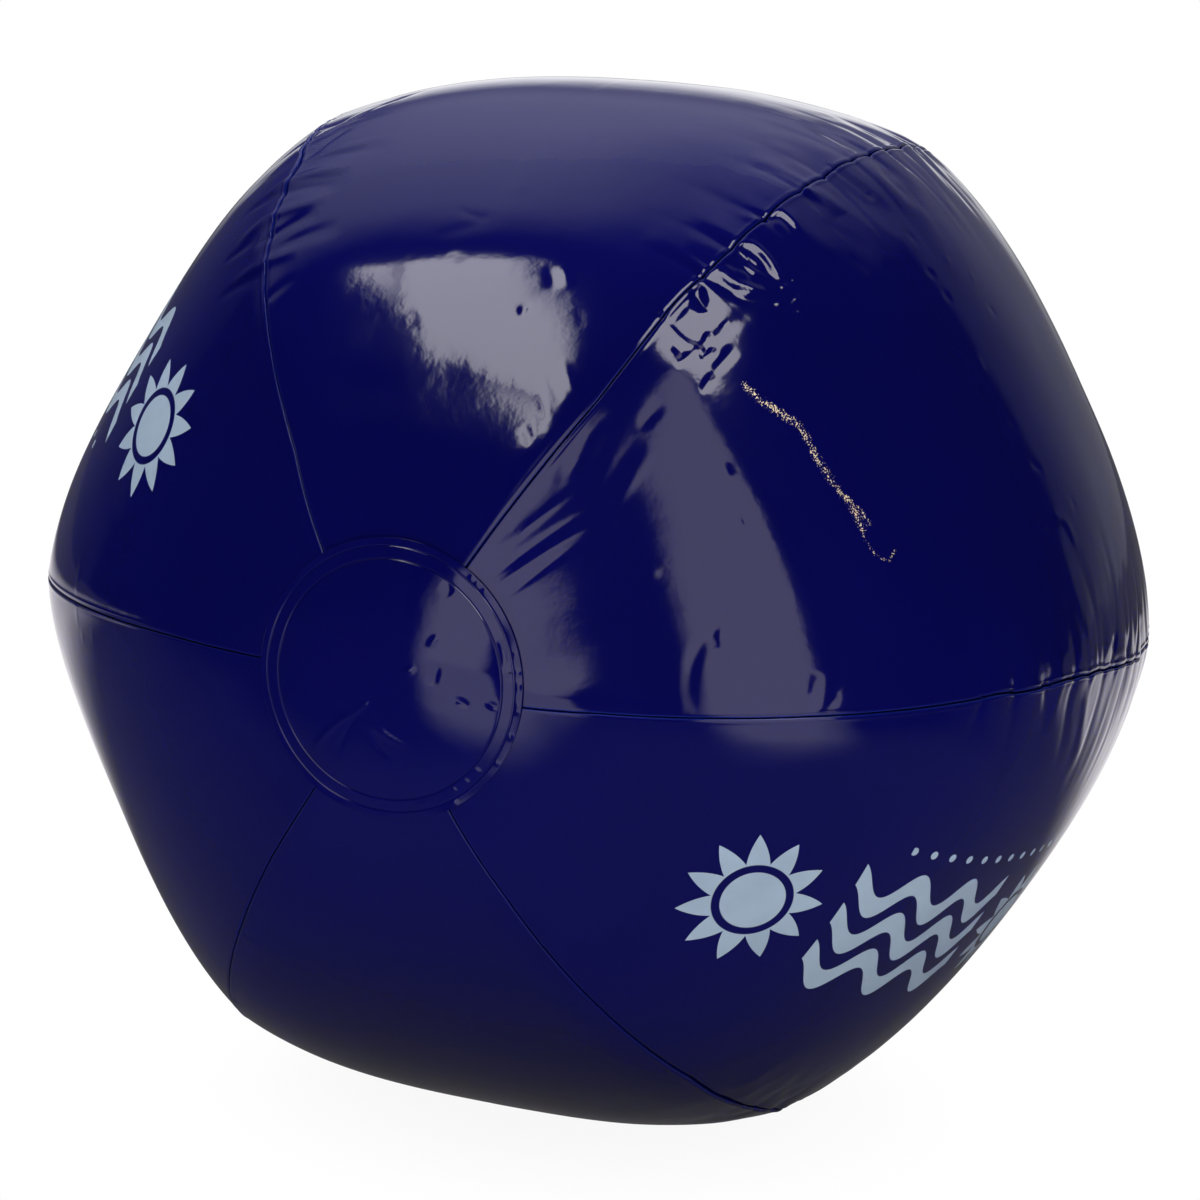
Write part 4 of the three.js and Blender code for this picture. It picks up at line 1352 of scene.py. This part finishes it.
def moulded(name, parts, voxel=0.00014, easing=8):
    """One eased skin over parts that overlap."""
    form = bmesh.new()
    for part in parts:
        form.from_mesh(part.data)
        bpy.data.objects.remove(part)
    mesh = bpy.data.meshes.new(name + "_parts")
    form.to_mesh(mesh)
    form.free()
    block = added(name + "_parts", mesh)
    remesh = block.modifiers.new("one_skin", "REMESH")
    remesh.mode, remesh.voxel_size, remesh.use_smooth_shade = "VOXEL", voxel, True
    ease = block.modifiers.new("ease", "SMOOTH")
    ease.factor, ease.iterations = 0.5, easing
    graph = bpy.context.evaluated_depsgraph_get()
    skin_mesh = bpy.data.meshes.new_from_object(block.evaluated_get(graph))
    bpy.data.objects.remove(block)
    print(name, "has", len(skin_mesh.polygons), "faces")
    return added(name, skin_mesh)

# %% Flange and skirt
def film_height(radius):
    """Height of the film in mm over the disc's face, at a distance in mm from the axis."""
    polar = polar_at(radius * 0.001)
    return 1000 * (-film_point(polar, 0.0)[1] - DISC_FACE)


flange_top = [(r, film_height(r) - 0.3) for r in np.linspace(9.95, 14.3, 6)]
flange_bottom = [(r, height - 0.9) for r, height in flange_top[::-1]]
flange = turned_part("soft_flange", rounded(flange_top + flange_bottom, 0.3))

# The skirt leaves the flange in a round lip, rolls over twice, and ends at the tube's collar.
share = np.linspace(0, 1, 29)
fall = share * share * (3 - 2 * share)
middle_radius = 9.35 - 3.1 * (0.65 * share + 0.35 * fall) + 0.10 * np.sin(4 * math.pi * share)
middle_height = -1.75 - 6.65 * share
skirt_line = np.concatenate([[(9.35, -1.25)], np.stack([middle_radius, middle_height], -1), [(6.25, -9.3)]])
skirt_way = np.gradient(skirt_line, axis=0)
skirt_side = unit(np.stack([-skirt_way[:, 1], skirt_way[:, 0]], -1))
wall = 0.22 + 0.05 * np.exp(-((skirt_line[:, 1:] + 1.25) / 0.5) ** 2)
skirt_outline = np.concatenate([skirt_line + skirt_side * wall, (skirt_line - skirt_side * wall)[::-1]])
skirt = turned_part("rolling_skirt", rounded(skirt_outline, 0.12, 2))

# %% Tube
stem_tube = turned_part("stem_tube", rounded([
    (3.4, -13.4), (4.9, -13.4), (4.9, -9.4), (5.7, -9.4), (5.7, -8.3), (4.9, -7.4), (4.9, -0.3), (5.6, 0.4),
    (5.6, 1.6), (3.4, 1.6)], (0.3, 0.3, 0.3, 0.35, 0.4, 0.4, 0.5, 0.35, 0.5, 0.5)))
root_outline = rounded([(-1.8, 4.3), (-1.8, 7.2), (-1.5, 8.5), (1.5, 8.5), (1.8, 7.2), (1.8, 4.3)],
                       (0.1, 0.6, 0.5, 0.5, 0.6, 0.1))
stem = moulded("valve_tube", [stem_tube, tongue("strap_root", root_outline, 0.72, 1.58, 0.3)])

# %% Plug
nose = [(math.sqrt(12.4 ** 2 - (depth + 0.15) ** 2) - 9.2, 1.6 - depth) for depth in np.linspace(4.6, 0, 8)]
plug_body = turned_part("plug_body", rounded(
    [(0.02, -3.4), (1.98, -3.4), *nose, (3.2, 1.95), (6.0, 1.95), (6.0, 3.68), (4.6, 3.68), (4.1, 3.15),
     (1.0, 3.1), (0.7, 3.35), (0.02, 3.35)],
    [0, 0.5] + [0.1] * 8 + [0.15, 0.4, 0.7, 0.3, 0.3, 0.2, 0.15, 0]), loop=False)
strap_outline = rounded([(-2.1, 4.6), (-1.5, 6.6), (-1.75, 8.9), (1.75, 8.9), (1.5, 6.6), (2.1, 4.6)],
                        (0.1, 0.9, 0.3, 0.3, 0.9, 0.1))
strap = tongue("strap", strap_outline, 1.95, 2.75, 0.28)
turn = np.linspace(0, 2 * math.pi, 20, endpoint=False)
bead_rings = [valve_place(np.full(20, x), 1.75 + size * np.cos(turn), 9.0 + size * np.sin(turn))
              for x, size in ((-1.75, 0.45), (-1.6, 0.68), (1.6, 0.68), (1.75, 0.45))]
hinge_bead = skin("hinge_bead", np.array(bead_rings))
grip_outline = rounded([(-2.2, -4.0), (-2.2, -6.6), (-1.5, -8.15), (1.5, -8.15), (2.2, -6.6), (2.2, -4.0)],
                       (0.1, 0.8, 0.9, 0.9, 0.8, 0.1))
grip = tongue("grip", grip_outline, 1.95, 2.8, 0.3)
ribs = [tongue("rib", rounded([(-1.5, z - 0.16), (-1.5, z + 0.16), (1.5, z + 0.16), (1.5, z - 0.16)], 0.1),
               2.6, 3.0, 0.1) for z in (-6.75, -7.35)]
plug = moulded("soft_plug", [plug_body, strap, hinge_bead, grip, *ribs], voxel=0.00012)

# %% Check flap
swing = np.radians(np.linspace(68, -248, 60))
flap_round = np.stack([4.2 * np.cos(swing), 4.2 * np.sin(swing)], -1)
flap_outline = np.concatenate([[(1.55, 4.7), (1.55, 4.2)], flap_round, [(-1.55, 4.2), (-1.55, 4.7)]])
flap = tongue("thin_flap", flap_outline, -14.2, -13.72, 0.2)

# %% Milky vinyl
milky, milky_tree, milky_shader = new_material("milky_vinyl")
milky_cloud = noise(milky_tree, position(milky_tree), 300.0, 2.0)
plug_in(milky_tree, milky_shader, "Base Color",
        mixed(milky_tree, milky_cloud, (0.66, 0.70, 0.74, 1), (0.78, 0.81, 0.83, 1)))
plug_in(milky_tree, milky_shader, "Roughness", milky_cloud * 0.15 + 0.25)
plug_in(milky_tree, milky_shader, "Subsurface Weight", 0.3)
plug_in(milky_tree, milky_shader, "Subsurface Scale", 0.002)

for made, node, body in ((flange, "valve_flange", "ball"), (skirt, "valve_skirt", None),
                         (stem, "valve_stem", "valve"), (plug, "valve_plug", "plug"),
                         (flap, "check_flap", "flap")):
    made.data.materials.append(milky)
    if body:
        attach(made, body)
    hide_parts(node)
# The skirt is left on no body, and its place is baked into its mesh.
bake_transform(skirt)

# %% [markdown]
# ## Studio
#
# The gloss shows the studio, so each lamp stands where the photographed ball reflects it. The
# mirror directions of the bright patches, traced back from the fitted surface, give a long strip
# box overhead to the left, drawn as three sheets because its outline isn't convex, a wide box
# overhead to the right, and two dim upright panels at the camera's side. Real lamps would also
# light the film's own colour. These are glowing sheets that only glossy rays see, so that the
# gloss and the blue under it can be set apart.

# %% Glowing sheets with soft edges
def inside_corners(u, v, corners, edges):
    """1 inside a convex outline, fading to 0 at its edges."""
    middle = [sum(c[i] for c in corners) / len(corners) for i in (0, 1)]
    lit = 1
    for (ua, va), (ub, vb), fade in zip(corners, corners[1:] + corners[:1], edges):
        across, down = vb - va, ua - ub
        length = math.hypot(across, down)
        inward = math.copysign(1 / length, (middle[0] - ua) * across + (middle[1] - va) * down)
        off = u * (across * inward) + v * (down * inward) - (ua * across + va * down) * inward
        lit = off.soft(0.0, fade) * lit
    return lit


def glow_sheet(name, plane, corners, edges, radiance, colour):
    """A sheet that glows inside its corners and fades towards each of its edges.

    plane is ("Z", height) for a level sheet or ("Y", place) for an upright one. The corners are
    measured from the ball's centre, and each edge has the width in metres over which it fades.
    """
    flat, level = plane
    second = "Y" if flat == "Z" else "Z"
    shift = (centre[0], centre["XYZ".index(second)])
    corners = [(u + shift[0], v + shift[1]) for u, v in corners]
    low = [min(c[i] for c in corners) for i in (0, 1)]
    high = [max(c[i] for c in corners) for i in (0, 1)]
    outline = [(low[0], low[1]), (high[0], low[1]), (high[0], high[1]), (low[0], high[1])]
    level = level + centre["XYZ".index(flat)]
    points = [(u, v, level) if flat == "Z" else (u, level, v) for u, v in outline]
    mesh = bpy.data.meshes.new(name)
    mesh.from_pydata(points, [], [(3, 2, 1, 0)])
    sheet = added(name, mesh)
    sheet.visible_camera = False
    sheet.visible_diffuse = False
    material = bpy.data.materials.new(name)
    tree = empty_tree(material)
    parts = Wire.node(tree, "ShaderNodeSeparateXYZ", {}, {"Vector": position(tree)})
    lit = inside_corners(parts.out("X"), parts.out(second), corners, edges)
    shade = mixed(tree, lit, (0, 0, 0, 1), (*colour, 1))
    shine = Wire.node(tree, "ShaderNodeEmission", {}, {"Color": shade, "Strength": radiance})
    show(tree, shine.socket)
    mesh.materials.append(material)
    print(name, "spans %.2f by %.2f m" % (high[0] - low[0], high[1] - low[1]))

# %% The lamps
OVERHEAD = ("Z", 1.6)
LAMP_LEVEL = 5.6
LAMP_WHITE = (1.0, 0.98, 1.0)
UPRIGHT = ("Y", -1.3)
PANEL_LEVEL = 1.4
PANEL_WHITE = (1.0, 0.93, 0.98)

for name, corners, edges in (
        ("strip_box", [(-0.775, -0.385), (-0.52, -0.29), (-0.485, -0.60), (-0.52, -2.15), (-0.775, -2.10)],
         [0.05, 0.04, 0.10, 0.06, 0.012]),
        ("strip_corner", [(-0.87, -0.43), (-0.775, -0.385), (-0.775, -0.88)], [0.05, 0.012, 0.05]),
        ("strip_tail", [(-0.98, -2.15), (-0.775, -1.25), (-0.775, -2.15)], [0.05, 0.012, 0.08]),
        ("wide_box", [(0.40, -0.45), (0.75, -0.33), (1.30, -0.36), (1.75, -0.70), (2.06, -1.35),
                      (2.06, -1.68), (1.76, -1.62), (1.0, -1.30), (0.55, -0.92)],
         [0.05, 0.03, 0.03, 0.03, 0.06, 0.08, 0.06, 0.05, 0.05])):
    glow_sheet(name, OVERHEAD, corners, edges, LAMP_LEVEL, LAMP_WHITE)
for name, corners, edges in (
        ("side_panel", [(0.66, -0.20), (0.68, 0.40), (0.88, 0.75), (1.42, 1.42), (1.62, 1.42),
                        (2.0, 0.85), (2.35, 0.2), (2.45, -0.20)],
         [0.12, 0.12, 0.10, 0.10, 0.04, 0.05, 0.05, 0.03]),
        ("front_panel", [(-0.42, -0.20), (-0.18, 0.85), (0.80, 0.85), (0.0, -0.20)],
         [0.12, 0.2, 0.08, 0.03])):
    glow_sheet(name, UPRIGHT, corners, edges, PANEL_LEVEL, PANEL_WHITE)

# %% [markdown]
# The rest of the room is painted by direction. Camera rays see plain white, as in a product
# picture. Reflected rays see what the ball saw: white only straight behind it, a haze and a pale
# ceiling beside that, and darkness on the camera's side. The light that brings out the film's own
# blue comes from a plain sky that only diffuse rays see: a main light from above, behind and to
# the left, and a weak fill from the camera's right.

# %% World
BEHIND = (-0.342, 0.940, 0.0)
MAIN_LIGHT = (-0.33, 0.52, 0.79)
FILL_LIGHT = (0.45, -0.89, 0.0)
SKY_SPAN = 20


def facing(way, direction):
    """Cosine of the angle between a wire's direction and a fixed one."""
    return Wire.node(way.tree, "ShaderNodeVectorMath", {"operation": "DOT_PRODUCT"},
                     {0: way, 1: direction}, out="Value")


world = bpy.data.worlds.new("studio")
bpy.context.scene.world = world
world_tree = empty_tree(world)
way = Wire.node(world_tree, "ShaderNodeTexCoord", out="Generated")
behind = facing(way, BEHIND)
way_parts = Wire.node(world_tree, "ShaderNodeSeparateXYZ", {}, {"Vector": way})
left, high = way_parts.out("X") * -1, way_parts.out("Z")
ceiling = left.soft(0.15, 0.42) * high.soft(0.5, 0.9) * 0.30 + 0.20
ceiling = ceiling * behind.soft(0.06, 0.3) * high.soft(0.32, 0.52) * (high + left * 0.5).soft(0.3, 0.62)
sweep = behind.soft(0.93, 0.99) * high.soft(-0.02, 0.10)
haze = behind.soft(0.49, 0.56) * 0.075 + behind.soft(0.56, 0.85) * 0.11
room = haze * (1 - left.soft(0.40, 0.62) * 0.75) + 0.012
room = room + ceiling * (1 - sweep) + sweep * 0.95
plain_sky = facing(way, MAIN_LIGHT).soft(0.85, 1.0) * 17 + facing(way, FILL_LIGHT).soft(0.6, 1.0) * 3.0 + 0.01
rays = Wire.node(world_tree, "ShaderNodeLightPath", out="Is Camera Ray")
room = plain_sky + (room - plain_sky) * rays.out("Is Glossy Ray")
# A Mix node keeps its factor between 0 and 1, so the level goes through it as a share of a span.
room_colour = mixed(world_tree, room / SKY_SPAN, (0, 0, 0, 1), (SKY_SPAN, SKY_SPAN, SKY_SPAN, 1))
direct = rays.larger(rays.out("Is Transmission Ray"))
white = mixed(world_tree, direct, room_colour, (1, 1, 1, 1))
sky = Wire.node(world_tree, "ShaderNodeBackground", {}, {"Color": white, "Strength": 1.0})
show(world_tree, sky.socket, "ShaderNodeOutputWorld")
print("world nodes:", len(world_tree.nodes))

# %% [markdown]
# ## Floor
#
# The floor is a plain pale sheet. Straight to the camera it shows white with the ball's soft
# shadow, which fades out well before the edge of the picture. To reflected rays it shows what
# the ball's underside saw: a dim sheet with bright patches to the front and to the right, and
# white far behind. To the film's own colour it is a grey that gives some light back from below.

# %% Floor
FLOOR_HALF = 6.0
FLOOR_LEVEL = -0.0003
floor_mesh = bpy.data.meshes.new("floor")
floor_corners = [(-FLOOR_HALF, -FLOOR_HALF, FLOOR_LEVEL), (FLOOR_HALF, -FLOOR_HALF, FLOOR_LEVEL),
                 (FLOOR_HALF, FLOOR_HALF, FLOOR_LEVEL), (-FLOOR_HALF, FLOOR_HALF, FLOOR_LEVEL)]
floor_mesh.from_pydata(floor_corners, [], [(0, 1, 2, 3)])
floor = added("floor", floor_mesh)
floor_material = bpy.data.materials.new("pale_floor")
floor_tree = empty_tree(floor_material)
spot = position(floor_tree)
spot_parts = Wire.node(floor_tree, "ShaderNodeSeparateXYZ", {}, {"Vector": spot})
east, north = spot_parts.out("X"), spot_parts.out("Y")
away = Wire.node(floor_tree, "ShaderNodeVectorMath", {"operation": "LENGTH"}, {0: spot}, out="Value")
far_along = east * BEHIND[0] + north * BEHIND[1]
far_side = far_along.soft(0.10, 0.34) * (1 - far_along.soft(0.7, 1.1))
near_side = far_along.soft(-0.25, 0.0).larger(1 - away.soft(0.28, 0.48))
right_corners = [(0.15, -0.25), (0.27, -0.11), (0.60, -0.30), (1.9, -1.4), (0.72, -1.4), (0.24, -0.46)]
right_patch = inside_corners(east, north, right_corners, [0.10, 0.10, 0.08, 0.02, 0.06, 0.08])
front_corners = [(-0.10, -0.47), (0.07, -0.32), (0.10, -0.40), (0.08, -1.4), (-0.42, -1.4)]
front_patch = inside_corners(east, north, front_corners, [0.12, 0.05, 0.04, 0.02, 0.06])
seen_dim = (right_patch + front_patch) * 1.05 + near_side * 0.075 + 0.015 + far_side * 0.9
pale = Wire.node(floor_tree, "ShaderNodeBsdfDiffuse", {}, {"Color": (0.8, 0.8, 0.8, 1)})
glow = Wire.node(floor_tree, "ShaderNodeEmission", {}, {"Color": (1, 1, 1, 1), "Strength": 1.0})
grey = Wire.node(floor_tree, "ShaderNodeBsdfDiffuse", {}, {"Color": (0.52, 0.52, 0.52, 1)})
dim_colour = mixed(floor_tree, seen_dim / 2, (0, 0, 0, 1), (2, 1.92, 2, 1))
dim = Wire.node(floor_tree, "ShaderNodeEmission", {}, {"Color": dim_colour, "Strength": 1.0})
whiteness = away.soft(0.04, 0.12) * 0.07 + 0.93
to_camera = Wire.node(floor_tree, "ShaderNodeMixShader", {}, {0: whiteness, 1: pale, 2: glow})
floor_rays = Wire.node(floor_tree, "ShaderNodeLightPath", out="Is Camera Ray")
straight = floor_rays.larger(floor_rays.out("Is Transmission Ray"))
glossy = floor_rays.out("Is Glossy Ray")
bounced = Wire.node(floor_tree, "ShaderNodeMixShader", {}, {0: glossy, 1: grey, 2: dim})
floor_shader = Wire.node(floor_tree, "ShaderNodeMixShader", {}, {0: straight, 1: bounced, 2: to_camera})
show(floor_tree, floor_shader.socket)
floor_mesh.materials.append(floor_material)
print("floor nodes:", len(floor_tree.nodes))

bpy.context.scene.view_settings.view_transform = "Standard"
